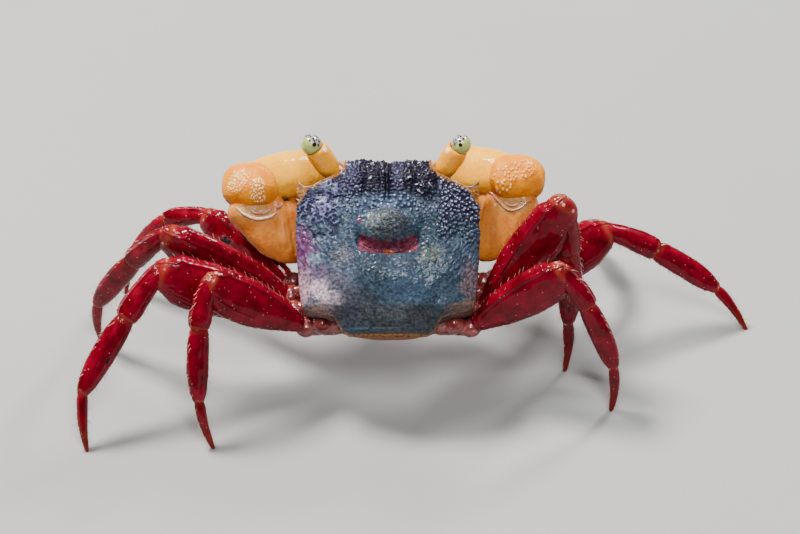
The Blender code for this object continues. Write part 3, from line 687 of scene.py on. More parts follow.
def leg_finish():
    made, maker, shader, place = new_finish("leg shell", 0.26, 0.32, 0.06, 0.03)
    base = maker.mottle(place, 0.7, (0.215, 0.0006, 0.013), (0.085, 0.0003, 0.004), 0.16)
    joint = maker.value_of("joint")
    uneven = maker.noise(place, 1.6, 4.0)
    near = maker.sum("MULTIPLY", joint, maker.ranged(uneven.outputs["Fac"], 0.3, 0.6, 0.2, 1.0))
    base = maker.washed(base, near, 0.3, (0.36, 0.05, 0.03))
    base = maker.washed(base, maker.value_of("lip"), 0.4, (0.32, 0.05, 0.02))
    base = maker.washed(base, maker.value_of("toe"), 0.7, (0.17, 0.014, 0.006))
    # Pale specks: painted glints of tiny granules.
    pale = maker.group("Specks", Vector=place, Scale=2.6, Size=0.1, Share=0.45)["Mask"]
    base = maker.washed(base, pale, 0.8, (0.75, 0.45, 0.42))
    # Pale pink specks near the joints: painted highlights on the glossy knees.
    knee = maker.group("Specks", Vector=place, Scale=1.7, Size=0.3, Share=0.55)["Mask"]
    knee = maker.sum("MULTIPLY", knee, maker.ranged(joint, 0.02, 0.5, 0.0, 0.65))
    base = maker.mixed(knee, base, (0.8, 0.42, 0.36))
    # Lighter red on the raised ridges, crests and beads: painted highlight.
    ridge = maker.ranged(maker.value_of("raised"), 0.6, 1.0, 0.0, 0.4)
    base = maker.mixed(ridge, base, (0.36, 0.04, 0.05))
    stain = maker.value_of("stain")
    haze = maker.ranged(stain, 0.0, 0.25, 0.0, 0.5)
    base = maker.mixed(haze, base, (0.15, 0.05, 0.06))
    base = maker.mixed(maker.ranged(stain, 0.22, 0.42), base, (0.004, 0.002, 0.003))
    maker.feed(shader.inputs["Base Color"], base)
    uneven_gloss(maker, shader, place, 2.0, 0.2, 0.36)
    grained(maker, shader, place, 5.0, 0.6, 0.5, 0.05)
    return made


def coxa_finish():
    made, maker, shader, place = new_finish("leg root shell", 0.2, 0.8, 0.04, 0.3)
    lit_through(shader, 0.15, 0.5)
    base = maker.mottle(place, 1.2, (0.32, 0.055, 0.05), (0.08, 0.003, 0.006), 0.16)
    pale = maker.noise(place, 2.2, 3.0)
    base = maker.mixed(maker.ranged(pale.outputs["Fac"], 0.63, 0.76, 0.0, 0.7), base, (0.6, 0.32, 0.28))
    maker.feed(shader.inputs["Base Color"], base)
    bumped(maker, shader, maker.noise(place, 3.0, 4.0).outputs["Fac"], 0.8, 0.1)
    return made


def claw_finish():
    made, maker, shader, place = new_finish("claw shell", 0.36, 0.16, 0.08, 0.06)
    lit_through(shader, 0.12, 0.6)
    palm = maker.mottle(place, 0.6, (0.86, 0.43, 0.022), (0.78, 0.29, 0.007), 0.25)
    lump = maker.mottle(place, 0.9, (0.8, 0.3, 0.006), (0.68, 0.17, 0.002), 0.2)
    arm = maker.mottle(place, 0.7, (0.72, 0.26, 0.045), (0.5, 0.13, 0.014), 0.2)
    base = maker.mixed(maker.value_of("wrist"), palm, lump)
    base = maker.mixed(maker.value_of("arm"), base, arm)
    raised = maker.value_of("raised")
    # Pale colour on the tops of the wrist grains, finger knobs and hand comb: painted highlights.
    crest = maker.ranged(raised, 0.3, 0.85, 0.0, 0.9)
    base = maker.mixed(crest, base, (0.98, 0.8, 0.48))
    skin = maker.mottle(place, 2.2, (0.6, 0.36, 0.14), (0.3, 0.17, 0.05), 0.2)
    base = maker.mixed(maker.value_of("skin"), base, skin)
    # Paler teeth on the fingers, and a painted highlight along the arm's soft ridge.
    base = maker.washed(base, maker.value_of("lip"), 0.8, (0.9, 0.52, 0.36))
    base = maker.mixed(maker.value_of("slit"), base, (0.02, 0.006, 0.003))
    maker.feed(shader.inputs["Base Color"], base)
    uneven_gloss(maker, shader, place, 2.0, 0.26, 0.45)
    grained(maker, shader, place, 5.0, 0.5, 0.5, 0.05)
    return made


# Roughness, coat, its roughness and specular; clouds; seams; grain; pale specks
PLATED = {
    "underside shell": (
        (0.42, 0.2, 0.2, 0.3), (0.6, (0.3, 0.1, 0.05), (0.13, 0.03, 0.02)),
        (0.7, (0.1, 0.02, 0.02)), (4.0, 0.5, 0.5, 0.05), 0.4,
    ),
    "abdomen shell": (
        (0.4, 0.2, 0.18, 0.15), (0.8, (0.28, 0.058, 0.008), (0.13, 0.02, 0.003)),
        (0.75, (0.32, 0.13, 0.04)), (4.0, 0.5, 0.5, 0.05), 0.0,
    ),
    "mouth cover shell": (
        (0.4, 0.2, 0.18, 0.3), (1.2, (0.45, 0.2, 0.07), (0.24, 0.07, 0.03)),
        (0.7, (0.12, 0.03, 0.02)), (5.0, 0.5, 0.5, 0.05), 0.0,
    ),
    "antenna": (
        (0.35, 0.5, 0.12, 0.5), (2.0, (0.7, 0.3, 0.09), (0.35, 0.1, 0.03)),
        (0.8, (0.12, 0.03, 0.015)), (7.0, 0.3, 0.3, 0.03), 0.0,
    ),
}


def plated_finish(name):
    """Shell in two colours, with seams between its plates."""
    gloss, clouds, seam, grain, specks = PLATED[name]
    made, maker, shader, place = new_finish(name, *gloss)
    base = maker.mottle(place, *clouds, 0.2)
    if specks > 0:
        pale = maker.group("Specks", Vector=place, Scale=1.8, Size=0.16, Share=0.4)["Mask"]
        base = maker.washed(base, pale, specks, (0.7, 0.42, 0.25))
    base = maker.washed(base, maker.value_of("seam"), *seam)
    maker.feed(shader.inputs["Base Color"], base)
    grained(maker, shader, place, *grain)
    return made


def stalk_finish():
    made, maker, shader, place = new_finish("eye stalk", 0.22, 0.35, 0.03, 0.2)
    lit_through(shader, 0.2, 0.5)
    base = maker.mottle(place, 1.1, (0.98, 0.42, 0.01), (0.86, 0.28, 0.004), 0.2)
    dark = maker.group("Specks", Vector=place, Scale=4.0, Size=0.22, Share=0.25)["Mask"]
    base = maker.washed(base, dark, 0.5, (0.2, 0.07, 0.02))
    base = maker.mixed(maker.value_of("lip"), base, (0.12, 0.04, 0.01))
    base = maker.mixed(maker.value_of("glint"), base, (0.95, 0.82, 0.76))
    maker.feed(shader.inputs["Base Color"], base)
    grained(maker, shader, place, 3.0, 0.3, 0.25, 0.04)
    return made


def cornea_finish():
    made, maker, shader, place = new_finish("cornea", 0.18, 0.8, 0.02, 0.3)
    base = maker.mottle(place, 2.2, (0.5, 0.53, 0.16), (0.26, 0.3, 0.06), 0.16)
    freckle = maker.value_of("freckle")
    base = maker.washed(base, maker.value_of("haze"), 0.7, (0.3, 0.26, 0.36))
    base = maker.mixed(freckle, base, (0.012, 0.01, 0.012))
    base = maker.mixed(maker.value_of("pupil"), base, (0.004, 0.004, 0.004))
    base = maker.mixed(maker.value_of("lip"), base, (0.05, 0.03, 0.008))
    maker.feed(shader.inputs["Base Color"], base)
    facets = maker.node("ShaderNodeTexVoronoi", {"Vector": place, "Scale": 16.0}, feature="SMOOTH_F1")
    bumped(maker, shader, facets.outputs["Distance"], 0.15, 0.02)
    return made


def joint_skin_finish(name, light, dark):
    made, maker, shader, place = new_finish(name, 0.3, 0.6, 0.1)
    base = maker.mottle(place, 2.0, light, dark, 0.2)
    maker.feed(shader.inputs["Base Color"], base)
    folds = maker.noise(place, 5.0, 2.0)
    bumped(maker, shader, folds.outputs["Fac"], 0.5, 0.06)
    return made


def bristle_finish(name, light, dark):
    made, maker, shader, place = new_finish(name, 0.45)
    base = maker.mottle(place, 3.0, light, dark, 0.2)
    along = maker.value_of("along")
    base = maker.mixed(maker.ranged(along, 0.4, 1.0, 0.0, 0.5), base, light)
    maker.feed(shader.inputs["Base Color"], base)
    return made


def floor_finish():
    made, maker, shader, place = new_finish("studio floor", 0.7, specular=0.3)
    base = maker.mottle(place, 0.02, (0.33, 0.327, 0.32), (0.3, 0.298, 0.29), 0.3)
    maker.feed(shader.inputs["Base Color"], base)
    return made


# Carapace

CARAPACE_ROWS = (
    (-7.95, 3.75, -2.0, -2.35, -2.9, 3.65),
    (-7.55, 4.3, -1.45, -2.3, -3.1, 4.15),
    (-6.8, 4.7, -0.95, -2.2, -3.3, 4.5),
    (-6.4, 5.0, -0.8, -2.15, -3.9, 4.8),
    (-6.1, 5.75, -0.68, -2.1, -4.9, 5.5),
    (-5.8, 7.05, -0.58, -2.0, -5.4, 6.75),
    (-5.45, 7.88, -0.5, -1.9, -5.6, 7.6),
    (-3.0, 8.25, -0.1, -1.7, -5.7, 8.0),
    (0.0, 8.45, 0.0, -1.55, -5.6, 8.05),
    (3.5, 8.5, -0.05, -1.45, -5.5, 7.8),
    (6.2, 8.5, -0.25, -1.4, -5.4, 7.4),
    (7.0, 8.5, -0.45, -1.45, -5.0, 7.2),
    (7.6, 8.45, -0.7, -1.55, -4.2, 7.0),
    (8.3, 8.4, -1.35, -1.9, -3.6, 6.8),
)
SHELL_EDGE_ROUND = 2.6
CARAPACE_BACK = -7.95
CARAPACE_FRONT = 8.3

# Raised and sunken places on the back: x, y, reach in x, reach in y, height
BACK_FORMS = (
    (0.0, 2.2, 1.9, 1.5, 0.55),
    (-1.15, 6.1, 0.75, 1.6, 0.42),
    (1.15, 6.1, 0.75, 1.6, 0.42),
    (-3.3, 6.3, 0.95, 1.3, 0.42),
    (3.3, 6.3, 0.95, 1.3, 0.42),
    (0.0, 6.1, 0.35, 2.2, -0.35),
    (0.0, -0.35, 2.9, 0.5, -0.42),
    (-2.9, 0.6, 0.5, 1.1, -0.3),
    (2.9, 0.6, 0.5, 1.1, -0.3),
    (-5.3, 3.2, 1.8, 1.4, 0.22),
    (5.3, 3.2, 1.8, 1.4, 0.22),
    (-5.6, -1.8, 2.0, 2.2, 0.25),
    (5.6, -1.8, 2.0, 2.2, 0.25),
    (0.0, -3.2, 2.6, 1.5, 0.25),
)
# Finer relief that only the skin has
BACK_FINE_FORMS = (
    (-2.35, 6.5, 0.22, 1.9, -0.38),
    (2.35, 6.5, 0.22, 1.9, -0.38),
    (0.12, 6.3, 0.13, 2.2, -0.34),
    (-0.28, 6.3, 0.09, 2.1, -0.24),
    (-0.75, 6.5, 0.13, 1.8, -0.24),
    (-4.4, 6.6, 0.3, 0.9, -0.2),
    (4.6, 6.2, 0.25, 1.3, -0.26),
    (-4.4, 4.7, 1.5, 0.35, -0.2),
    (4.4, 4.7, 1.5, 0.35, -0.2),
    (-3.5, 1.6, 0.6, 1.6, -0.2),
    (3.5, 1.6, 0.6, 1.6, -0.2),
    (-1.7, 3.4, 0.9, 0.45, -0.24),
    (1.7, 3.4, 0.9, 0.45, -0.24),
    (-1.3, -2.4, 1.1, 0.9, 0.1),
    (1.5, -3.0, 1.1, 0.9, 0.1),
    (-4.6, -4.6, 0.5, 1.4, -0.14),
    (4.6, -4.6, 0.5, 1.4, -0.14),
    (-6.6, 0.9, 1.4, 0.3, -0.16),
    (6.6, 0.9, 1.4, 0.3, -0.16),
)
BUMP = (2.0, 1.85, 1.75, 0.68)
SMILE = (-0.3, 0.85, 2.75, 0.52, -0.5)
CARAPACE_ACROSS = 291
# Where the rows of the shell's mesh lie: start, end and how many
CARAPACE_STRETCHES = ((-7.95, -1.0, 76), (-1.0, 3.4, 76), (3.4, 8.3, 106))
WALL_STEPS = 22
FRONT_CURL = ((0.12, 0.05), (0.24, 0.18), (0.31, 0.36), (0.33, 0.6), (0.31, 0.85), (0.33, 1.05),
              (0.42, 1.18), (0.44, 1.3), (0.36, 1.4), (0.15, 1.45), (-0.25, 1.45))
CURL_INSET = 0.07
BACK_CURL = ((0.07, 0.03), (0.12, 0.1), (0.13, 0.22), (0.1, 0.36), (0.0, 0.46), (-0.2, 0.5))

# Plan of one orbit, from the front edge round to the tooth outside the eye
ORBIT_PLAN = (
    (4.02, 9.6),
    (4.05, 8.4),
    (4.22, 7.5),
    (4.75, 6.95),
    (5.6, 6.55),
    (6.6, 6.1),
    (7.25, 5.82),
    (7.75, 5.85),
    (8.1, 6.1),
    (8.46, 6.5),
    (9.6, 6.9),
    (9.6, 9.6),
)
ORBIT_TOP = 1.0
ORBIT_FLOOR = -3.7
# The face below the orbit stands back from the eye's outer half
CHEEK_PLAN = ((5.7, 9.6), (5.9, 7.2), (7.0, 6.7), (9.6, 6.5), (9.6, 9.6))
CHEEK_FLOOR = -7.0
ORBIT_RIM_RADIUS = 0.1


def summed_forms(forms, x, y):
    added = np.zeros_like(x)
    for cx, cy, rx, ry, height in forms:
        added += height * np.exp(-(((x - cx) / rx) ** 2) - ((y - cy) / ry) ** 2)
    return added


def bump_and_smile(x, y):
    """The raised middle of the back and the crescent groove that hugs its rear edge."""
    place, reach_x, reach_y, height = BUMP
    narrower = reach_x * (0.62 + 0.38 * smooth_step(3.6, 1.4, y))
    lump = height * np.exp(-(((x / narrower) ** 2 + ((y - place) / reach_y) ** 2) ** 2.1))
    lowest, lift, half, thick, depth = SMILE
    line = lowest + lift * (x / half) ** 2
    ends = 1 - smooth_step(2.5, 3.1, np.abs(x))
    return lump + depth * np.exp(-(((y - line) / thick) ** 4)) * ends


def back_height(x, y):
    """Height of the back at body frame places on it."""
    heights = np.empty_like(x)
    for i, (px, py) in enumerate(zip(x, y)):
        half, middle, edge = curve_through(CARAPACE_ROWS, py)[:3]
        share = min(abs(px) / half, 1)
        dome = (1 - share**SHELL_EDGE_ROUND) ** 0.75
        heights[i] = edge + (middle - edge) * dome
    return heights + summed_forms(BACK_FORMS, x, y) + summed_forms(BACK_FINE_FORMS, x, y)


def carapace_ring(y, ahead, drop, inset):
    """One section of the shell. `ahead` moves it along the body, `drop` lowers its top and
    `inset` draws in its sides and its bottom."""
    half, middle, edge, bottom, half_bottom = curve_through(CARAPACE_ROWS, y)
    half -= inset
    half_bottom -= inset
    bottom += inset
    notch = 0.22 * math.exp(-(((y - 4.75) / 0.28) ** 2)) + 0.14 * math.exp(-(((y - 3.5) / 0.25) ** 2))
    half -= notch
    even = np.linspace(-1, 1, CARAPACE_ACROSS)
    share = 0.7 * even + 0.3 * np.sin(even * math.pi / 2)
    x = half * share
    dome = (1 - np.abs(share) ** SHELL_EDGE_ROUND) ** 0.75
    fade = 1 - np.abs(share) ** 8
    ys = np.full_like(x, y)
    relief = summed_forms(BACK_FORMS, x, ys) + summed_forms(BACK_FINE_FORMS, x, ys) + bump_and_smile(x, ys)
    rear_rim = 0.16 * math.exp(-(((y + 7.75) / 0.17) ** 2)) - 0.04 * math.exp(-(((y + 7.25) / 0.3) ** 2))
    z = edge + (middle - edge) * dome + (relief + rear_rim) * fade
    z = np.maximum(z - drop, bottom + 0.02)
    lobes = 0.1 * np.cos(x * 2.75) - 0.5 * hump(x - 0.14, 0.4)
    out = ys + ahead + (lobes if ahead and y > 0 else 0)
    top = np.stack((x, out, z), 1)
    around = np.linspace(0, 1, WALL_STEPS + 1)[1:]
    wall_x = half + (half_bottom - half) * around + 0.12 * np.sin(math.pi * around)
    wall_top = z[-1]
    wall_z = wall_top + (bottom - wall_top) * around
    right = np.stack((wall_x, np.full_like(around, y + ahead), wall_z), 1)
    left = right[::-1] * (-1, 1, 1)
    under = np.array([(half_bottom * s, y + ahead, bottom) for s in (0.6, 0.2, -0.2, -0.6)])
    return np.concatenate((top, right, under, left))


def carapace_places(ring_rows, stations):
    """For each point its place on the shell: across, along, depth below the side edge, how far
    the row is lowered, and half the shell's width there."""
    across = []
    for ring, (y, _, drop, _) in zip(ring_rows, stations):
        wall = np.zeros(len(ring))
        edge_z = ring[CARAPACE_ACROSS - 1, 2]
        wall[CARAPACE_ACROSS:] = np.maximum(edge_z - ring[CARAPACE_ACROSS:, 2], 0)
        half = ring[CARAPACE_ACROSS - 1, 0]
        row = np.tile((0, y, 0, drop, half), (len(ring), 1))
        row[:, 0] = ring[:, 0]
        row[:, 2] = wall
        across.append(row)
    return np.concatenate(across)


def make_carapace(finish):
    ys = np.unique(np.concatenate([np.linspace(*stretch) for stretch in CARAPACE_STRETCHES]))
    back = [(CARAPACE_BACK, -out, drop, CURL_INSET * (k + 1)) for k, (out, drop) in enumerate(BACK_CURL)]
    front = [(CARAPACE_FRONT, out, drop, CURL_INSET * (k + 1)) for k, (out, drop) in enumerate(FRONT_CURL)]
    stations = back[::-1] + [(y, 0.0, 0.0, 0.0) for y in ys] + front
    rings = [carapace_ring(*station) for station in stations]
    flat = carapace_places(rings, stations)
    flat = np.concatenate((flat, flat[:1], flat[-1:]))
    shell = skin_over("carapace_skin", [to_world(ring) for ring in rings])
    points, normals, body = surface_of(shell)
    height, marks = carapace_relief(body, flat[:, 2], flat[:, 4])
    push_out(shell, points, normals, height * smooth_step(-5.65, -5.4, body[:, 2]))
    for name, values in marks.items():
        mark(shell, name, values)
    cut_orbits(shell)
    return put_on(shell, "carapace_shell", finish, "carapace")


def carapace_relief(body, wall, half):
    """Round beads on the front, worm-like ridges at the left, striae low on the flanks and a fine
    net behind. Returns the height and the marks."""
    x, y = body[:, 0], body[:, 1]
    reach = np.abs(x)
    tooth = smooth_step(0.0, 0.3, (reach - 7.0) * 0.832 + (y - 5.95) * 0.555) * smooth_step(3.7, 4.3, y)
    plain = 1 - tooth
    line = 5.0 - 1.1 * smooth_step(2.2, 4.0, reach) + 0.3 * drift(body, 0.8, 3)
    dark = smooth_step(-0.3, 0.35, y - line) * plain
    flank = smooth_step(3.9, 5.0, reach) * smooth_step(-0.6, 1.4, y) * plain
    low_flank = smooth_step(5.2, 6.4, reach) * smooth_step(3.0, 1.6, y) * smooth_step(-3.8, -1.8, y)
    teal = smooth_step(2.6, 3.4, y) * (1 - dark) * smooth_step(5.0, 4.0, reach)
    share = 0.6 + 0.4 * hump(x - 0.75, 0.5) + 0.5 * smooth_step(-2.2, -2.9, x)
    round_beads = studs(x, y, 0.3, 11, 0.135, share)
    # Irregular flecks, raised a little, which take the pale glint colour: painted highlights on the
    # granules.
    flecks = smooth_step(0.3, 0.7, drift(body @ LATTICE_TURN, 0.21, 91))
    winding = drift(body @ LATTICE_TURN, 0.34, 37) / 0.46
    worm = np.sqrt(np.clip(1 - winding**2, 0, 1)) * (0.8 + 0.2 * studs(x, y, 0.24, 33, 0.12))
    worm *= smooth_step(-0.5, -0.25, drift(body @ LATTICE_TURN, 0.4, 35))
    grapes = studs(x, y, 0.36, 43, 0.18, 0.97)
    sides = worm * smooth_step(0.5, -0.5, x) + grapes * smooth_step(-0.5, 0.5, x)
    slope = 0.85 * reach - 0.5 * y + 0.14 * drift(body, 0.5, 53)
    way = 0.5 * reach + 0.85 * y
    striae = studs(slope, way * 0.3, 0.26, 57, 0.12, 0.9)
    drops = studs(x, y, 0.44, 59, 0.17, 0.9)
    fine = beads(body * (0.6, 1, 1) + 0.1 * drift(body, 0.5, 63)[:, None], 0.25, 51)
    comb = hump(x + 0.47, 0.1) * (0.5 + 0.5 * np.cos(y * 20)) * smooth_step(4.4, 5.0, y)
    comb = np.maximum(comb, 0.7 * hump(x + 0.08, 0.07) * (0.5 + 0.5 * np.cos(y * 26)) * dark)
    furrow = np.maximum(hump(x - 0.12, 0.12), hump(x + 0.28, 0.09))
    furrow = furrow * smooth_step(3.9, 4.6, y)
    crown = np.exp(-((((x / 2.1) ** 2 + ((y - 1.8) / 1.9) ** 2)) ** 2))
    pits = studs(x, y, 0.27, 67, 0.085, 0.7) * crown
    lobe = np.exp(-(((reach - 6.8) / 0.8) ** 2) - (((y - 5.3) / 0.6) ** 2)) * plain * (x < 0)
    balls = studs(x, y, 0.66, 73, 0.31) * lobe
    side_wall = smooth_step(0.2, 0.7, wall)
    net_share = (1 - dark) * (1 - flank) * (1 - low_flank)
    raised = 0.34 + 0.34 * fine - 0.3 * pits
    raised += dark * (np.maximum(0.88 * round_beads, flecks) - raised)
    raised += flank * (sides * (1 - 0.6 * lobe) - raised)
    raised += low_flank * (0.3 + 0.45 * striae - raised)
    raised = np.maximum.reduce((raised, drops * teal, 0.5 * balls))
    raised = np.maximum(raised * (1 - furrow), comb)
    height = np.maximum.reduce(
        (
            0.15 * np.maximum(round_beads, flecks) * dark * (1 - furrow),
            0.17 * sides * flank * (1 - 0.7 * lobe),
            0.06 * striae * low_flank,
            0.15 * drops * teal,
            0.16 * comb,
            0.25 * balls,
        )
    )
    rear_rest = 1 - 0.7 * smooth_step(-2.2, -4.0, y)
    height += (0.05 * fine * (1 - 0.7 * teal) - 0.09 * pits) * net_share * rear_rest
    height += 0.05 * drift(body, 0.9, 5) + 0.018 * drift(body, 0.35, 7)
    net = beads(body, 0.34, 61)
    height = height * (1 - 0.5 * side_wall) + 0.06 * net * side_wall
    rim_away = np.where(wall > 0, wall, half - reach)
    rim = hump(rim_away, 0.09) * (1 - smooth_step(-5.6, -3.6, y))
    rim = np.maximum(rim, smooth_step(-7.94, -8.0, y) * (reach < 4.6))
    height = height * (1 - rim) + 0.05 * rim
    rear = smooth_step(-2.0, -3.6, y)
    lilac = 0.76 * smooth_step(-2.2, -3.2, x) + 0.6 * hump(x - 0.8, 0.5)
    lilac += 0.3 * smooth_step(3.8, 5.0, x) + 0.8 * (teal + crown) + 0.06
    marks = {
        "raised": raised + rear * 0.65 * (0.45 - raised),
        "lilac": np.clip(lilac, 0, 1),
        "smile": smile_share(x, y, reach, body),
        "edge": np.clip(np.maximum.reduce((rim, tooth, brow_share(y, reach, body))), 0, 1),
    }
    return height, marks


def smile_share(x, y, reach, body):
    """The smile-shaped mark on the back."""
    low_line = -0.86 + 0.5 * (x / 2.8) ** 2
    high_line = 0.3 + 1.0 * (x / 2.8) ** 2
    sway = 0.12 * drift(body, 0.4, 15) + 0.08 * drift(body, 0.16, 16)
    smile = smooth_step(-0.08, 0.08, y - low_line + sway) * smooth_step(0.08, -0.08, y - high_line + sway)
    end = 2.86 - 0.3 * smooth_step(0.1, 1.2, y) + 0.12 * drift(body, 0.5, 17)
    return smile * smooth_step(0.1, -0.1, reach + 1.4 * sway - end) * (body[:, 2] > -2)


def brow_share(y, reach, body):
    """The edge of the shell along the orbits."""
    away = line_distance(reach, y, ORBIT_PLAN[1:-1])
    return smooth_step(0.34, 0.12, away + 0.08 * drift(body, 0.3, 45))


def cut_orbits(shell):
    """Cuts out the hollows of the orbits and of the cheeks below them."""
    for sign in (-1, 1):
        for plan, floor in ((ORBIT_PLAN, ORBIT_FLOOR), (CHEEK_PLAN, CHEEK_FLOOR)):
            top = to_world([(sign * px, py, ORBIT_TOP) for px, py in plan])
            low = to_world([(sign * px, py, floor) for px, py in plan])
            cut_with(shell, skin_over("orbit", [low, top]))


def make_orbit_rim(side, finish):
    """The pale rolled edge round the orbit, from beside the front to the outer tooth."""
    table = [(i, *row) for i, row in enumerate(ORBIT_PLAN[1:-2])]
    at = np.linspace(0, len(table) - 1, 90)
    plan = np.array([curve_through(table, t) for t in at])
    heights = back_height(plan[:, 0], np.minimum(plan[:, 1], CARAPACE_FRONT)) - 0.05
    path = np.column_stack((plan, heights))
    rings = []
    for i, point in enumerate(path):
        along = unit(path[min(i + 1, len(path) - 1)] - path[max(i - 1, 0)])
        across = unit(np.cross(along, (0, 0, 1)))
        rise = np.cross(across, along)
        ends = math.sin(math.pi * min(max(i / (len(path) - 1), 0.02), 0.98)) ** 0.3
        beat = 1 + 0.18 * math.sin(i * 2.1)
        radius = ORBIT_RIM_RADIUS * ends * beat
        turn = full_turn(12)
        ring = point + radius * spokes(turn, across, rise)
        rings.append(to_world(ring * (SIGN[side], 1, 1)))
    return put_on(skin_over(f"orbit_rim_{side}", rings), "carapace_shell", finish)


# Underside

UNDERSIDE_ROWS = (
    (-7.2, 3.6, -3.0, 3.0, -5.2),
    (-6.6, 4.2, -3.0, 3.8, -7.0),
    (-5.6, 6.4, -3.0, 4.6, -8.4),
    (-2.0, 7.0, -3.0, 5.2, -9.3),
    (2.0, 7.0, -3.0, 5.2, -9.3),
    (4.6, 6.8, -3.0, 4.6, -8.7),
    (6.2, 6.4, -3.0, 3.9, -7.6),
    (7.3, 5.0, -3.4, 3.3, -5.4),
    (7.6, 4.0, -3.6, 3.0, -4.6),
)
PLATE_SEAMS = (4.4, 2.2, 0.1, -2.1, -4.3)


def power(values, exponent):
    return np.copysign(np.abs(values) ** exponent, values)


def make_underside(finish):
    rings = []
    for y in np.linspace(-7.2, 7.6, 120):
        half_top, top, half_low, low = curve_through(UNDERSIDE_ROWS, y)
        turn = np.linspace(0, math.pi, 90)
        depth = np.sin(turn) ** 0.6
        half = half_top + (half_low - half_top) * depth
        x = -power(np.cos(turn), 0.7) * half
        z = top - 1.2 + (low - top + 1.2) * depth
        bowl = np.stack((x, np.full_like(x, y), z), 1)
        ring = np.concatenate((((half_top, y, top),), ((-half_top, y, top),), bowl))
        rings.append(to_world(ring))
    skin = skin_over("underside_skin", rings)
    points, normals, body = surface_of(skin)
    bend = body[:, 1] + 0.05 * body[:, 0] ** 2
    seam = np.zeros(len(points))
    for place in PLATE_SEAMS:
        seam = np.maximum(seam, hump(bend - place, 0.16))
    seam *= smooth_step(0.8, 1.6, np.abs(body[:, 0]))
    seam = np.maximum(seam, hump(body[:, 0], 0.14))
    seam *= smooth_step(-5.4, -6.4, body[:, 2])
    cheek = smooth_step(2.0, 4.0, body[:, 1]) * smooth_step(-7.0, -6.0, body[:, 2])
    lift = 0.04 * beads(body, 0.35, 71) + 0.04 * drift(body, 1.0, 9) - 0.16 * seam
    lift += 0.06 * beads(body * (1, 0.6, 1), 0.3, 75) * cheek
    push_out(skin, points, normals, lift)
    mark(skin, "seam", seam)
    return put_on(skin, "underside_shell", finish, "underside")


# Abdomen

ABDOMEN_ROWS = (
    (-7.2, -3.55, 4.2),
    (-7.45, -4.3, 4.6),
    (-7.45, -5.3, 4.6),
    (-7.15, -6.6, 4.2),
    (-6.5, -7.9, 3.6),
    (-5.2, -8.95, 3.1),
    (-3.5, -9.55, 2.6),
    (-1.5, -9.8, 2.1),
    (0.6, -9.8, 1.6),
    (2.4, -9.55, 1.05),
)
ABDOMEN_HALF_THICK = 0.24
PLATE_STEP = 0.1


def make_abdomen(finish):
    """Seven overlapping plates, each ending in a lip over the next."""
    steps = 15
    rows = np.array(ABDOMEN_ROWS)
    line = np.arange(len(rows))
    table = [(i, *row) for i, row in zip(line, rows)]
    rings, edges = [], []
    for i in range(len(rows) - 1):
        for k in range(steps):
            t = k / (steps - 1)
            at = i + 0.002 + t * 0.996
            y, z, half = curve_through(table, at)
            ahead = curve_through(table, min(at + 0.05, line[-1]))[:2]
            behind = curve_through(table, max(at - 0.05, 0))[:2]
            along = unit((0, *(ahead - behind)))
            out = -np.array((0, -along[2], along[1]))
            lip = PLATE_STEP * (0.25 + 0.75 * t**1.5) - (0.12 if k == steps - 1 else 0)
            thick = ABDOMEN_HALF_THICK + lip
            turn = full_turn(56)
            across = power(np.cos(turn), 0.7) * (half + lip * 0.4 - 0.08 * math.sin(math.pi * t) ** 6)
            rise = power(np.sin(turn), 0.7) * thick
            bow = -0.5 * (across / half) ** 2
            centre = np.array((0, y, z))
            ring = centre + np.outer(across, (1, 0, 0)) + np.outer(rise + bow, out)
            rings.append(to_world(ring))
            edges += [smooth_step(0.78, 1.0, t)] * len(turn)
    skin = skin_over("abdomen_skin", rings)
    points = read_points(skin)
    normals = read_normals(skin)
    lift = 0.03 * drift(points, 0.7, 13) + 0.02 * beads(points, 0.3, 81)
    push_out(skin, points, normals, lift)
    mark(skin, "seam", edges + [0, 0])
    return put_on(skin, "abdomen_shell", finish, "abdomen")


# Mouth covers

MOUTH_TOP = (1.75, 7.55, -4.9)
MOUTH_BOTTOM = (1.35, 5.1, -8.2)
MOUTH_HALF_WIDTH = 1.15
MOUTH_HALF_THICK = 0.42
MOUTH_ROWS = (
    (0.0, 0.55),
    (0.03, 0.72),
    (0.08, 0.86),
    (0.2, 0.97),
    (0.35, 1.0),
    (0.46, 0.95),
    (0.49, 0.86),
    (0.5, 0.84),
    (0.51, 0.86),
    (0.54, 0.95),
    (0.7, 1.0),
    (0.85, 0.96),
    (0.96, 0.8),
    (1.0, 0.6),
)


# The small feeler on each cover: share of the way down it and height above its middle
PALP_PATH = ((0.02, 0.3), (0.16, 0.62), (0.36, 0.68), (0.55, 0.66), (0.68, 0.5))
PALP_RADII = (0.2, 0.26, 0.23, 0.2, 0.09)


def tube_directions(table, at, last, upward):
    """The sideways and the rising direction of a tube at a place along it."""
    ahead = curve_through(table, min(at + 0.05, last))[:3]
    behind = curve_through(table, max(at - 0.05, 0))[:3]
    along = unit(ahead - behind)
    across = unit(np.cross(along, upward))
    return across, np.cross(across, along)


def make_tube(name, path, radii, knots, depth, sides=18, steps=70):
    """A closed, ringed tube through points of the body frame, drawn in at its knots."""
    last = len(path) - 1
    table = [(i, *point, radius) for i, (point, radius) in enumerate(zip(path, radii))]
    turn = full_turn(sides)
    rings = []
    for at in np.linspace(0, last, steps):
        *centre, radius = curve_through(table, at)
        across, rise = tube_directions(table, at, last, (0.1, 0.2, 1))
        beat = abs(math.sin(at / last * math.pi * knots + 0.8 * math.sin(at * 2.3))) ** 0.4
        radius *= 1 - depth * (1 - beat)
        rings.append(to_world(np.array(centre) + radius * spokes(turn, across, rise)))
    return skin_over(name, rings)


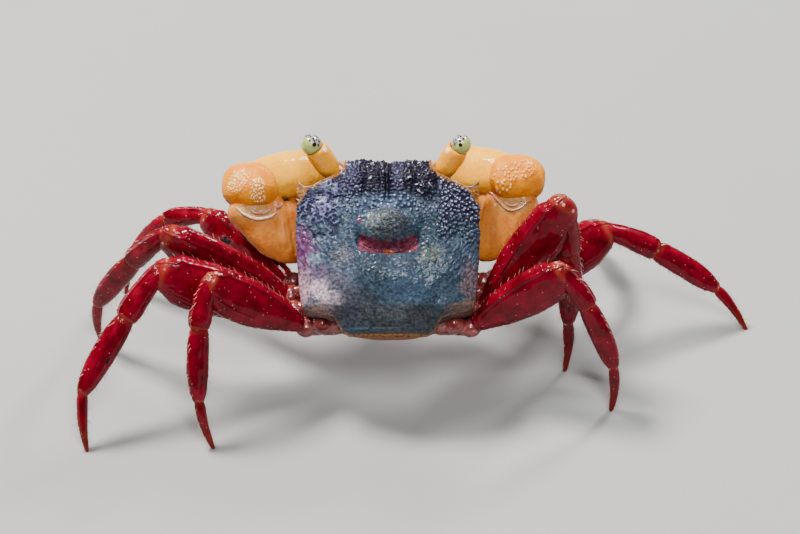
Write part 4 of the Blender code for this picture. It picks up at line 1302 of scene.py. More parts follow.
def make_mouth_cover(side, finish):
    top = mirrored(MOUTH_TOP, side)
    low = mirrored(MOUTH_BOTTOM, side)
    along = unit(low - top)
    across = np.array((1.0, 0, 0))
    out = unit(np.cross(across, along))
    rings = []
    for share in np.linspace(0, 1, 60):
        wide = curve_through(MOUTH_ROWS, share)[0]
        thick = MOUTH_HALF_THICK * (0.55 + 0.45 * wide)
        turn = full_turn(48)
        x = power(np.cos(turn), 0.8) * MOUTH_HALF_WIDTH * wide
        rise = power(np.sin(turn), 0.8) * thick
        rings.append(to_world(top + (low - top) * share + np.outer(x, across) + np.outer(rise, out)))
    skin = skin_over(f"mouth_cover_{side}_skin", rings)
    points, normals, body = surface_of(skin)
    local = body - top
    share = local @ along / np.linalg.norm(low - top)
    x = (local @ across) * SIGN[side]
    slope = x + 0.5 - (share - 0.5) * 1.6
    seam = hump(share - 0.5, 0.02)
    ridge = hump(slope, 0.14)
    lift = 0.1 * ridge - 0.06 * seam + 0.03 * beads(body, 0.25, 91)
    push_out(skin, points, normals, lift)
    mark(skin, "seam", seam)
    put_on(skin, "mouth_shell", finish, "mouth_cover_" + side)
    inner = np.array((-0.55 * SIGN[side], 0, 0))
    palp = [top + (low - top) * share + inner * (1 + share) + out * reach for share, reach in PALP_PATH]
    made = make_tube(f"mouth_palp_{side}", palp, PALP_RADII, 5, 0.2)
    return put_on(made, "mouth_shell", finish)


# Eyes

EYE_ROOT = {"left": (5.05, 7.3, -2.1), "right": (4.95, 7.3, -2.1)}
EYE_TIP = {"left": (6.85, 9.35, 0.25), "right": (6.54, 9.35, 0.25)}
CORNEA_RADIUS = {"left": 0.98, "right": 0.93}
CORNEA_BEYOND_TIP = 0.35
CORNEA_OUTWARD = 0.12
STALK_ROWS = (
    (-0.06, 0.62),
    (0.0, 0.75),
    (0.12, 0.98),
    (0.4, 1.1),
    (0.72, 1.13),
    (0.86, 1.1),
    (0.925, 1.04),
    (0.955, 0.97),
    (0.968, 0.88),
    (0.972, 0.7),
)
# Which way the dark spot in each eye looks: right, up and towards the camera, in millimetres
PUPIL_WAYS = {"left": (0.29, -0.03, 0.94), "right": (-0.09, -0.07, 0.95)}


def eye_line(side):
    root = to_world(mirrored(EYE_ROOT[side], side))
    tip = to_world(mirrored(EYE_TIP[side], side))
    along = unit(tip - root)
    out = np.array((SIGN[side], 0, 0))
    across = unit(out - along * out.dot(along))
    centre = tip + along * CORNEA_BEYOND_TIP + across * CORNEA_OUTWARD
    return root, tip, along, across, centre


# White glints along the inner side of each stalk: share of its length and half length
STALK_GLINTS = {"left": ((0.86, 0.15), (0.68, 0.22)), "right": ((0.84, 0.16), (0.66, 0.26), (0.3, 0.12))}


def make_eye(side, stalk_material, cornea_material):
    root, tip, along, across, centre = eye_line(side)
    tilt = math.radians(CAMERA_DOWN)
    right, up = np.array((1.0, 0, 0)), np.array((0, math.sin(tilt), math.cos(tilt)))
    nearer = np.array((0, -math.cos(tilt), math.sin(tilt)))
    rise = np.cross(across, along)
    rings = []
    for share in np.linspace(STALK_ROWS[0][0], STALK_ROWS[-1][0], 90):
        radius = curve_through(STALK_ROWS, share)[0]
        turn = full_turn(48)
        middle = root + (tip - root) * share
        rings.append(middle + radius * spokes(turn, across, rise))
    stalk = skin_over(f"eyestalk_{side}_skin", rings)
    points = read_points(stalk)
    normals = read_normals(stalk)
    waist = np.exp(-(((points - root) @ along / 1.0) ** 2))
    lift = 0.045 * drift(points, 0.7, 17) + 0.02 * beads(points, 0.4, 19) - 0.14 * waist
    push_out(stalk, points, normals, lift)
    away = np.linalg.norm(points - centre, axis=1)
    share = (points - root) @ along / np.linalg.norm(tip - root)
    glint = np.zeros(len(points))
    for place, size in STALK_GLINTS[side]:
        round_it = np.arccos(np.clip(-(normals @ unit(across - 0.9 * nearer)), -1, 1))
        glint = np.maximum(glint, np.exp(-(((share - place) / size) ** 2) - (round_it / 0.3) ** 2))
    mark(stalk, "glint", smooth_step(0.35, 0.7, glint + 0.1 * drift(points, 0.2, 35)))
    mark(stalk, "lip", smooth_step(CORNEA_RADIUS[side] + 0.09, CORNEA_RADIUS[side] + 0.02, away))
    put_on(stalk, "eye_stalk", stalk_material, "eyestalk_" + side)

    nothing_selected()
    bpy.ops.mesh.primitive_uv_sphere_add(segments=72, ring_count=48, radius=CORNEA_RADIUS[side] * MM)
    cornea = bpy.context.active_object
    cornea.name = f"cornea_{side}_skin"
    bpy.ops.object.mode_set(mode="EDIT")
    bpy.ops.mesh.select_all(action="SELECT")
    bpy.ops.transform.resize(value=(1, 1, 1.06), center_override=(0, 0, 0))
    bpy.ops.object.mode_set(mode="OBJECT")
    local = read_points(cornea)
    turned = np.outer(local[:, 0], across) + np.outer(local[:, 1], rise) + np.outer(local[:, 2], along)
    write_points(cornea, centre + turned)
    if np.dot(np.cross(across, rise), along) < 0:
        cornea.data.flip_normals()
    pupil_right, pupil_up, pupil_near = PUPIL_WAYS[side]
    way = unit(right * pupil_right + up * pupil_up + nearer * pupil_near)
    facing = turned @ way / np.linalg.norm(turned, axis=1)
    mark(cornea, "pupil", smooth_step(0.972, 0.985, facing))
    top = turned @ up / np.linalg.norm(turned, axis=1)
    inward = -turned @ across
    haze = smooth_step(0.15, 0.75, top * 0.7 + inward * 0.75)
    mark(cornea, "haze", haze)
    spots = studs(turned @ right, turned @ up, 0.24, 131, 0.105, 0.8)
    mark(cornea, "freckle", smooth_step(0.2, 0.6, spots) * smooth_step(0.15, 0.5, haze))
    mark(cornea, "lip", smooth_step(-0.34, -0.46, turned @ along))
    put_on(cornea, "eye_cornea", cornea_material, "cornea_" + side)


# Antennae and the small folded feelers between the eyes

ANTENNULE_PATH = ((0.9, 7.7, -3.4), (1.15, 8.45, -3.15), (1.75, 8.75, -3.4), (2.4, 8.7, -3.75))
ANTENNULE_RADII = (0.34, 0.36, 0.26, 0.12)
ANTENNA_PATH = ((3.35, 8.1, -4.1), (3.8, 8.7, -4.5), (4.6, 9.4, -5.0), (5.3, 9.5, -5.6))
ANTENNA_RADII = (0.42, 0.36, 0.2, 0.1)
ANTENNA_RINGS = 17


def make_antenna(side, finish):
    table = [(i, *mirrored(p, side), r) for i, (p, r) in enumerate(zip(ANTENNA_PATH, ANTENNA_RADII))]
    last = len(ANTENNA_PATH) - 1
    turn = full_turn(20)
    rings, seams = [], []
    for at in np.linspace(0, last, 110):
        *centre, radius = curve_through(table, at)
        across, rise = tube_directions(table, at, last, (0, 0, 1))
        beat = abs(math.sin(at / last * math.pi * ANTENNA_RINGS)) ** 0.5
        radius *= 0.86 + 0.18 * beat
        rings.append(to_world(np.array(centre) + radius * spokes(turn, across, rise)))
        seams += [1 - beat] * len(turn)
    skin = skin_over(f"antenna_{side}_skin", rings)
    mark(skin, "seam", seams + [0, 0])
    put_on(skin, "antenna", finish, "antenna_" + side)
    path = [mirrored(point, side) for point in ANTENNULE_PATH]
    return put_on(make_tube(f"antennule_{side}", path, ANTENNULE_RADII, 6, 0.25), "antenna", finish)


# Claws

ARM_ROOT = (5.6, 2.3, -7.0)
ELBOW = (12.7, 5.2, -4.5)
PALM_ROOT = (11.4, 7.6, -3.9)
KNUCKLE = (6.6, 8.9, -6.7)
FINGER_TIP = (2.6, 8.5, -9.9)
THUMB_ROOT = (7.2, 9.2, -6.6)
THUMB_END_ABOVE_TIP = 0.55
THUMB_BOW = 0.1
CLAW_SHIFT = {"right": (-0.5, 0.36, 0.2), "left": (-0.1, 0.0, 0.0)}
WRIST = {"left": (12.98, 6.6, -3.7), "right": (12.07, 7.47, -3.5)}
# Half sizes of the wrist: outward, forward and up its broad side
WRIST_SIZE = {"left": (2.66, 2.42, 2.15), "right": (2.67, 2.2, 2.1)}
CLAW_AROUND = 96
WRIST_ROWS = (
    (0.0, 0.2, 0.2, 0.2),
    (0.03, 0.44, 0.46, 0.44),
    (0.1, 0.68, 0.7, 0.66),
    (0.25, 0.9, 0.91, 0.88),
    (0.45, 1.0, 1.0, 1.0),
    (0.65, 0.98, 0.97, 1.0),
    (0.82, 0.85, 0.83, 0.86),
    (0.93, 0.65, 0.62, 0.66),
    (1.0, 0.32, 0.3, 0.34),
)
# Patches of glistening grains on the wrist: outward, forward and reach, from its middle
WRIST_GRAINS = {
    "left": ((1.25, -0.1, 1.0), (0.6, 0.2, 0.7), (-0.8, -0.4, 0.8), (-0.8, -1.2, 0.75)),
    "right": ((-1.2, -0.3, 1.2), (0.3, 0.2, 1.2), (-1.3, -1.1, 0.9), (1.2, 0.3, 0.7)),
}
# Spacing and half size of those grains
GRAIN_SIZES = {"left": (0.185, 0.08), "right": (0.36, 0.125)}
# How strongly each wrist's grain tops are painted pale as highlights
GRAIN_GLINT = {"left": 1.0, "right": 0.62}
# How far the wrist reaches back, as a share of its reach to the front
WRIST_BACK = {"left": 0.86, "right": 1.0}
# Middle of the soft skin between wrist and arm, in plan
ELBOW_SKIN = {"left": (12.3, 4.05), "right": (11.7, 4.75)}
ARM_ROWS = (
    (0.0, 1.0, 1.0, 1.0),
    (0.15, 1.35, 1.3, 1.15),
    (0.26, 1.6, 3.4, 1.2),
    (0.45, 2.05, 3.95, 1.35),
    (0.62, 2.3, 3.95, 1.5),
    (0.8, 2.4, 3.55, 1.6),
    (0.95, 2.3, 3.0, 1.6),
    (1.07, 2.0, 2.45, 1.45),
    (1.16, 1.5, 1.8, 1.15),
    (1.2, 0.8, 1.0, 0.7),
)
THUMB_ROWS = (
    (0.0, 0.5, 0.5, 0.5),
    (0.05, 0.8, 0.8, 0.75),
    (0.3, 0.88, 0.75, 0.8),
    (0.65, 0.7, 0.5, 0.62),
    (0.92, 0.35, 0.25, 0.3),
    (1.0, 0.12, 0.12, 0.12),
)
# Dark slit where each arm leaves the body: place and half size in plan
ARM_SLITS = {"left": (9.5, 5.8, 0.42, 0.3), "right": (9.0, 6.3, 0.36, 0.15)}
# Folds of skin between wrist and arm: places in plan, half thickness and finish
ARM_FOLDS = {
    "left": (
        (((14.2, 4.4), (13.4, 3.72), (12.25, 3.38), (11.15, 3.6), (10.4, 4.2)),
         (0.06, 0.13, 0.17, 0.15, 0.06), "pale"),
        (((13.0, 4.2), (12.4, 3.9), (11.9, 3.92), (11.3, 4.1), (10.9, 4.45)),
         (0.06, 0.12, 0.14, 0.12, 0.06), "pink"),
        (((10.45, 4.45), (10.15, 4.75), (9.95, 5.05)), (0.1, 0.2, 0.08), "pink"),
    ),
    "right": (
        (((10.4, 4.9), (11.0, 4.35), (11.6, 4.12), (12.3, 4.3), (13.0, 4.85)),
         (0.06, 0.1, 0.12, 0.1, 0.06), "olive"),
        (((10.8, 5.05), (11.2, 4.7), (11.7, 4.55), (12.2, 4.7)), (0.05, 0.1, 0.1, 0.05), "pink"),
        (((9.4, 6.2), (9.8, 5.85), (10.1, 5.4), (10.5, 4.9)), (0.06, 0.12, 0.13, 0.06), "pink"),
        (((12.3, 5.0), (12.9, 4.9), (13.5, 5.0)), (0.05, 0.1, 0.05), "olive"),
    ),
}
# Creases and soft ridges of the arm's upper face in plan: points, width and height
ARM_LINES = (
    (((9.7, 6.6), (9.35, 4.4), (8.9, 2.2), (8.6, 0.6)), 0.13, -0.16),
    (((10.3, 5.2), (10.0, 3.6), (9.6, 1.6)), 0.3, 0.1),
    (((11.3, 4.0), (10.8, 2.4), (10.2, 0.8)), 0.4, 0.07),
    (((12.9, 3.6), (12.1, 2.0), (11.2, 0.8)), 0.4, 0.06),
    (((10.7, 4.6), (10.3, 2.6), (9.9, 0.9)), 0.12, -0.06),
)
# Rings along and points around
ARM_MESH = (170, 140)
WRIST_MESH = (220, 250)
FINGER_MESH = (90, CLAW_AROUND)


def claw_point(point, side, share):
    return to_world(mirrored(point, side) + np.array(CLAW_SHIFT[side]) * share)


def claw_frame(start, end):
    """The piece's own directions: along it, up its broad side and across."""
    back = turn_matrix() @ (0, 0, 1)
    along = unit(end - start)
    up = unit(np.cross(back, along))
    if up[1] < 0:
        up = -up
    return along, up, unit(np.cross(along, up))


def claw_form(name, start, end, rows, steps, sides, bow=0.0):
    _, up, across = claw_frame(start, end)
    turn = full_turn(sides)
    rings = []
    for share in np.linspace(rows[0][0], rows[-1][0], steps):
        above, below, half = curve_through(rows, share)
        centre = start + (end - start) * share + up * bow * math.sin(math.pi * min(max(share, 0), 1))
        rise = power(np.sin(turn), 0.9) * np.where(np.sin(turn) > 0, above, below)
        rings.append(centre + np.outer(power(np.cos(turn), 0.9) * half, across) + np.outer(rise, up))
    piece = skin_over(name + "_skin", rings)
    points = read_points(piece)
    return piece, points, read_normals(piece)


def finish_claw(piece, points, normals, lift, marks, finish, node):
    push_out(piece, points, normals, lift)
    for name in ("raised", "lip", "wrist", "arm", "skin", "slit"):
        mark(piece, name, marks.get(name, np.zeros(len(points))))
    return put_on(piece, "claw_shell", finish, node)


def make_ball():
    """The master of all soft joint skin."""
    nothing_selected()
    bpy.ops.mesh.primitive_uv_sphere_add(segments=40, ring_count=28, radius=1)
    ball = bpy.context.active_object
    ball.name = "master_ball"
    return ball


def make_lump(ball, name, centre, directions, reaches, seed):
    """A soft, wrinkled lump of joint skin."""
    piece = copy_of(ball, name)
    local = read_points(piece) * MM
    wrinkled = 1 + 0.06 * drift(local, 0.4, seed) + 0.03 * np.sin(local[:, 2] * 15 + 2 * local[:, 0])
    turned = (local * wrinkled[:, None] * reaches) @ np.array(directions)
    write_points(piece, centre + turned)
    if np.linalg.det(np.array(directions)) < 0:
        piece.data.flip_normals()
    return piece


def make_arm(side, root, elbow, finish):
    """Returns the places of its skin in the body frame."""
    arm, points, normals = claw_form("arm_" + side, root, elbow, ARM_ROWS, *ARM_MESH)
    body = to_body(points)
    reach = np.abs(body[:, 0])
    top = smooth_step(-0.2, 0.5, normals @ (turn_matrix() @ (0, 0, 1)))
    lift = 0.05 * drift(points, 1.1, 21) + 0.02 * beads(points, 0.3, 101)
    shift_x, shift_y = CLAW_SHIFT[side][:2]
    shift = (shift_x * SIGN[side], shift_y)
    sway = 0.1 * drift(points, 0.6, 125)
    for line, width, depth in ARM_LINES:
        way = line_distance(reach + sway, body[:, 1], line, shift)
        lift += depth * hump(way, width) * top
    px, py, half, tall = ARM_SLITS[side]
    slit = np.exp(-(((((reach - px) / half) ** 2 + ((body[:, 1] - py) / tall) ** 2)) ** 2)) * top
    # A soft ridge on the arm's top; through the lip mark it is painted paler as a highlight.
    ridge_x, ridge_y = reach - 9.85 - 0.15 * (body[:, 1] - 2.6), body[:, 1] - 2.6
    light = np.exp(-((ridge_x / 0.1) ** 2) - (ridge_y / 0.7) ** 2) * top
    lift += 0.06 * light - 0.3 * slit
    if side == "left":
        lift += 0.45 * np.exp(-(((reach - 14.4) / 0.9) ** 2) - ((body[:, 1] - 4.3) / 1.3) ** 2)
    wrinkles = 0.5 + 0.5 * np.sin((reach * 0.8 + body[:, 1] + sway * 3) * 9)
    skin_x, skin_y = ELBOW_SKIN[side]
    near_wrist = smooth_step(1.0, 0.5, np.hypot((reach - skin_x) / 2.1, (body[:, 1] - skin_y) / 1.15))
    lift += 0.03 * wrinkles * near_wrist
    marks = {"lip": 0.3 * light, "slit": slit, "skin": 0.8 * near_wrist, "arm": np.ones(len(points))}
    finish_claw(arm, points, normals, lift, marks, finish, "arm_" + side)
    return to_body(points + normals * lift[:, None])


def make_wrist(side, wrist, finish):
    """The swollen wrist, with its fields of grains, their tops painted pale as highlights."""
    long_way, front_way, top_way = WRIST_SIZE[side]
    wrist_rows = tuple(
        (share, front * front_way, back * front_way * WRIST_BACK[side], half * top_way)
        for share, front, back, half in WRIST_ROWS
    )
    out = np.array((long_way * SIGN[side], 0, 0))
    lump, points, normals = claw_form("wrist_" + side, wrist + out, wrist - out, wrist_rows, *WRIST_MESH)
    local = to_body(points) - mirrored(WRIST[side], side)
    outward = local[:, 0] * SIGN[side]
    grains = np.zeros(len(points))
    for gx, gy, gr in WRIST_GRAINS[side]:
        away = np.hypot(outward - gx, local[:, 1] - gy) / gr
        grains = np.maximum(grains, smooth_step(1.1, 0.75, away + 0.15 * drift(points, 0.5, 29)))
    grains *= local[:, 2] > 0
    cell, size = GRAIN_SIZES[side]
    bead = studs(outward, local[:, 1], cell, 111, size, 0.92)
    lift = 0.8 * size * bead * grains + 0.03 * grains + 0.08 * drift(points, 1.0, 23)
    lift += 0.02 * beads(points, 0.3, 113)
    # The grain tops carry the painted highlight.
    marks = {"raised": bead * grains * GRAIN_GLINT[side], "wrist": np.ones(len(points))}
    finish_claw(lump, points, normals, lift, marks, finish, "wrist_" + side)


def make_finger(side, thumb, end, finish):
    """The movable finger, with knobs above and teeth below."""
    finger, points, normals = claw_form("finger_" + side, thumb, end, THUMB_ROWS, *FINGER_MESH, THUMB_BOW)
    along, up, _ = claw_frame(thumb, end)
    share = (points - thumb) @ along / np.linalg.norm(end - thumb)
    rise = (points - thumb) @ up
    knobs = np.maximum(0, np.sin(share * 40)) ** 2 * smooth_step(0.25, 0.7, rise) * (share < 0.9)
    teeth = np.maximum(0, np.sin(share * 34)) ** 1.5 * smooth_step(-0.1, -0.45, rise) * (share > 0.15)
    lift = 0.1 * knobs + 0.14 * teeth + 0.03 * drift(points, 0.6, 25)
    marks = {"raised": knobs * 0.8, "lip": teeth}
    finish_claw(finger, points, normals, lift, marks, finish, "finger_" + side)


def make_arm_folds(side, arm_skin, skins):
    """Folds of skin laid on the arm, next to the wrist."""
    for i, (line, radii, kind) in enumerate(ARM_FOLDS[side]):
        laid = []
        for px, py in line:
            px = px * SIGN[side]
            away = np.hypot(arm_skin[:, 0] - px, arm_skin[:, 1] - py)
            near = arm_skin[away < max(0.25, away.min() + 0.05)]
            laid.append((px, py, near[:, 2].max() + 0.02))
        fold = make_tube(f"arm_fold_{i + 1}_{side}", laid, radii, 9, 0.12, 20, 90)
        put_on(fold, "claw_shell", skins[kind])


def make_claw(side, finish, skins, ball):
    root = claw_point(ARM_ROOT, side, 0)
    elbow = claw_point(ELBOW, side, 1)
    wrist = to_world(mirrored(WRIST[side], side))
    palm = claw_point(PALM_ROOT, side, 1)
    knuckle = claw_point(KNUCKLE, side, 1)
    tip = claw_point(FINGER_TIP, side, 1)
    thumb = claw_point(THUMB_ROOT, side, 1)
    arm_skin = make_arm(side, root, elbow, finish)
    make_wrist(side, wrist, finish)
    make_hand(side, palm, knuckle, tip, finish)
    finger_end = tip + claw_frame(palm, knuckle)[1] * THUMB_END_ABOVE_TIP
    make_finger(side, thumb, finger_end, finish)
    make_arm_folds(side, arm_skin, skins)
    across, rise, along = claw_frame(root, elbow)
    inner = elbow + (wrist - elbow) * 0.35
    bags = (
        ("wrist", inner, (1.9, 1.5, 1.35)),
        ("thumb", thumb + (knuckle - thumb) * 0.2, (0.75, 0.7, 0.65)),
        ("shoulder", root - (elbow - root) * 0.03, (1.5, 1.5, 1.1)),
    )
    for i, (name, centre, reaches) in enumerate(bags):
        bag = make_lump(ball, f"{name}_membrane_{side}", centre, (across, rise, along), reaches, 300 + i)
        put_on(bag, "claw_shell", skins["olive"])


HAND_ROWS = (
    (-0.16, 0.6, 0.6, 0.6),
    (-0.13, 1.2, 1.2, 1.0),
    (-0.08, 1.65, 1.65, 1.38),
    (0.08, 2.15, 2.15, 1.7),
    (0.22, 2.3, 2.3, 1.8),
    (0.4, 2.35, 2.35, 1.8),
)


def make_hand(side, palm, knuckle, tip, finish):
    """The swollen palm, which runs on into the fixed finger."""
    reach = np.linalg.norm(knuckle - palm)
    bend = reach / (reach + np.linalg.norm(tip - knuckle))
    along, up, _ = claw_frame(palm, knuckle)
    rows = HAND_ROWS + (
        (bend, 2.1, 2.2, 1.5),
        (bend + 0.06, 0.7, 1.75, 1.1),
        (0.8, 0.35, 1.1, 0.8),
        (0.95, 0.18, 0.45, 0.4),
        (1.0, 0.08, 0.2, 0.18),
    )
    turn = full_turn(CLAW_AROUND)
    rings, shares, rises = [], [], []
    for share in np.linspace(HAND_ROWS[0][0], 1, 140):
        above, below, half = curve_through(rows, share)
        if share < bend:
            centre = palm + (knuckle - palm) * (share / bend)
        else:
            centre = knuckle + (tip - knuckle) * ((share - bend) / (1 - bend))
        way = unit(along * (1 - share) + unit(tip - knuckle) * share)
        rise = unit(up - way * up.dot(way))
        across = unit(np.cross(way, rise))
        lift = power(np.sin(turn), 0.9) * np.where(np.sin(turn) > 0, above, below)
        rings.append(centre + np.outer(power(np.cos(turn), 0.9) * half, across) + np.outer(lift, rise))
        shares += [share] * CLAW_AROUND
        rises += list(np.sin(turn))
    hand = skin_over(f"hand_{side}_skin", rings)
    points = read_points(hand)
    normals = read_normals(hand)
    shares = np.array(shares + [HAND_ROWS[0][0], 1])
    rises = np.array(rises + [0, 0])
    teeth = np.maximum(0, np.sin(shares * 60)) ** 1.5 * smooth_step(0.55, 0.9, rises)
    teeth *= smooth_step(bend + 0.08, bend + 0.14, shares)
    bead = beads(points, 0.4, 121) * (1 - smooth_step(bend - 0.1, bend + 0.05, shares))
    comb = hump(rises - 0.86, 0.06) * np.abs(np.sin(shares * 90)) * (shares < bend)
    lift = 0.025 * bead + 0.06 * comb + 0.15 * teeth + 0.05 * drift(points, 1.4, 27)
    marks = {"raised": comb * 0.5, "lip": teeth}
    finish_claw(hand, points, normals, lift, marks, finish, "hand_" + side)


# Legs

LEG_ROOTS = {
    2: (9.0, -1.5, -7.8),
    3: (9.2, -3.1, -7.1),
    4: (8.8, -4.75, -6.7),
    5: (7.7, -6.4, -6.0),
}
COXA_ROOTS = {
    2: (5.5, -0.6, -7.9),
    3: (5.4, -2.6, -7.4),
    4: (5.0, -4.6, -6.6),
    5: (4.0, -6.35, -4.7),
}
LEG_LENGTHS = {
    2: (10.85, 4.83, 6.33, 4.6),
    3: (13.57, 5.59, 7.54, 5.28),
    4: (13.7, 5.65, 8.06, 5.8),
    5: (11.15, 4.58, 7.05, 5.15),
}
LEG_BREADTHS = {2: (3.9, 1.8), 3: (4.7, 2.0), 4: (4.9, 2.1), 5: (4.25, 1.95)}
LEG_POSES = {
    ("left", 2): (32.7, 15.4, 16.1, 44.9, 28.5, 28.9),
    ("left", 3): (7.0, -6.0, 33.0, 84.3, 7.9, 29.1),
    ("left", 4): (-17.7, 27.4, 29.9, 75.5, 4.4, 35.1),
    ("left", 5): (-27.5, 24.2, 42.4, 106.7, 12.8, 17.6),
    ("right", 2): (35.1, 45.4, 2.6, 42.4, 27.7, 43.5),
    ("right", 3): (23.6, -35.0, 12.6, 48.6, 8.9, 21.3),
    ("right", 4): (10.3, -7.8, 56.8, 139.6, 6.2, 3.2),
    ("right", 5): (-9.0, -8.8, 43.3, 98.4, 10.3, 23.4),
}
TOE_BELOW_FLOOR = 0.12
# Rows of each segment: share of its length, reach above its line, reach below, half thickness
MERUS_ROWS = (
    (0.0, 0.13, 0.13, 0.15),
    (0.04, 0.16, 0.16, 0.17),
    (0.14, 0.235, 0.245, 0.21),
    (0.3, 0.36, 0.42, 0.235),
    (0.5, 0.43, 0.56, 0.245),
    (0.7, 0.43, 0.62, 0.24),
    (0.85, 0.37, 0.58, 0.23),
    (0.895, 0.39, 0.51, 0.225),
    (0.92, 0.29, 0.48, 0.22),
    (0.98, 0.23, 0.4, 0.21),
    (1.01, 0.18, 0.33, 0.18),
    (1.035, 0.12, 0.22, 0.13),
    (1.045, 0.05, 0.1, 0.07),
)
CARPUS_ROWS = (
    (-0.06, 0.18, 0.24, 0.22),
    (0.0, 0.3, 0.37, 0.34),
    (0.12, 0.38, 0.43, 0.41),
    (0.45, 0.47, 0.5, 0.46),
    (0.8, 0.54, 0.55, 0.47),
    (0.95, 0.52, 0.52, 0.42),
    (1.01, 0.43, 0.43, 0.36),
    (1.045, 0.3, 0.3, 0.26),
    (1.055, 0.14, 0.14, 0.12),
)
PROPODUS_ROWS = (
    (-0.05, 0.22, 0.24, 0.21),
    (0.0, 0.4, 0.4, 0.33),
    (0.1, 0.52, 0.52, 0.39),
    (0.4, 0.56, 0.56, 0.4),
    (0.75, 0.52, 0.51, 0.37),
    (0.93, 0.36, 0.36, 0.3),
    (1.0, 0.25, 0.25, 0.22),
    (1.03, 0.17, 0.17, 0.15),
    (1.04, 0.08, 0.08, 0.07),
)
DACTYLUS_ROWS = (
    (-0.05, 0.14, 0.14, 0.12),
    (0.0, 0.22, 0.22, 0.19),
    (0.12, 0.27, 0.27, 0.22),
    (0.5, 0.21, 0.2, 0.18),
    (0.85, 0.13, 0.12, 0.12),
    (1.03, 0.08, 0.08, 0.08),
)
COXA_ROWS = (
    (0.0, 0.8, 0.8, 0.64),
    (0.12, 1.1, 1.1, 0.72),
    (0.45, 1.15, 1.15, 0.75),
    (0.6, 0.97, 0.97, 0.7),
    (0.63, 0.9, 0.9, 0.66),
    (0.66, 0.92, 0.92, 0.67),
    (0.75, 1.0, 1.0, 0.7),
    (0.93, 0.9, 0.9, 0.65),
    (1.0, 0.72, 0.72, 0.54),
    (1.01, 0.5, 0.5, 0.38),
    (0.96, 0.35, 0.35, 0.26),
)
SEGMENTS = ("coxa", "merus", "carpus", "propodus", "dactylus")
# Rows, sides of the first rough form and how often it is smoothed
SEGMENT_FORMS = {
    "coxa": (COXA_ROWS, 16, 2),
    "merus": (MERUS_ROWS, 16, 3),
    "carpus": (CARPUS_ROWS, 16, 3),
    "propodus": (PROPODUS_ROWS, 14, 3),
    "dactylus": (DACTYLUS_ROWS, 12, 3),
}
BOWS = {"coxa": 0.0, "merus": 0.0, "carpus": 0.1, "propodus": 0.12, "dactylus": 0.2}
# Old black marks on two legs: segment, share along, height across it, reach
STAINS = {
    "leg2_left_merus": (0.69, -0.6, 0.8),
    "leg4_left_propodus": (0.53, -0.35, 0.36),
}


def leg_joints(side, number):
    """Root, knee and the next joints down to the toe, which is made to reach the floor."""
    heading, lean, first_rise, *bends = LEG_POSES[(side, number)]
    sign = SIGN[side]
    turn = math.radians(heading)
    ahead = np.array((sign * math.cos(turn), math.sin(turn), 0))
    normal = np.cross(ahead, (0, 0, 1))
    up = np.array((0, 0, 1)) * math.cos(math.radians(lean)) + normal * math.sin(math.radians(lean))
    root = to_world(mirrored(LEG_ROOTS[number], side))
    low, high = -40.0, 40.0
    for _ in range(60):
        extra = (low + high) / 2
        points = [root]
        rise = first_rise + extra
        for bend, length in zip((0, *bends), LEG_LENGTHS[number]):
            rise -= bend
            angle = math.radians(rise)
            points.append(points[-1] + (ahead * math.cos(angle) + up * math.sin(angle)) * length)
        if points[-1][2] > -TOE_BELOW_FLOOR:
            high = extra
        else:
            low = extra
    return points, ahead, up


def segment_frame(start, end, ahead, up):
    along = unit(end - start)
    normal = unit(np.cross(ahead, up))
    rise = unit(np.cross(normal, along))
    if rise.dot(up) < 0 and abs(along.dot(up)) < 0.8:
        rise = -rise
    return normal, rise, along


def coxa_frame(start, end):
    along = unit(end - start)
    up = unit(np.cross((0, 1, 0), along))
    if up[1] < 0:
        up = -up
    return unit(np.cross(along, up)), up, along


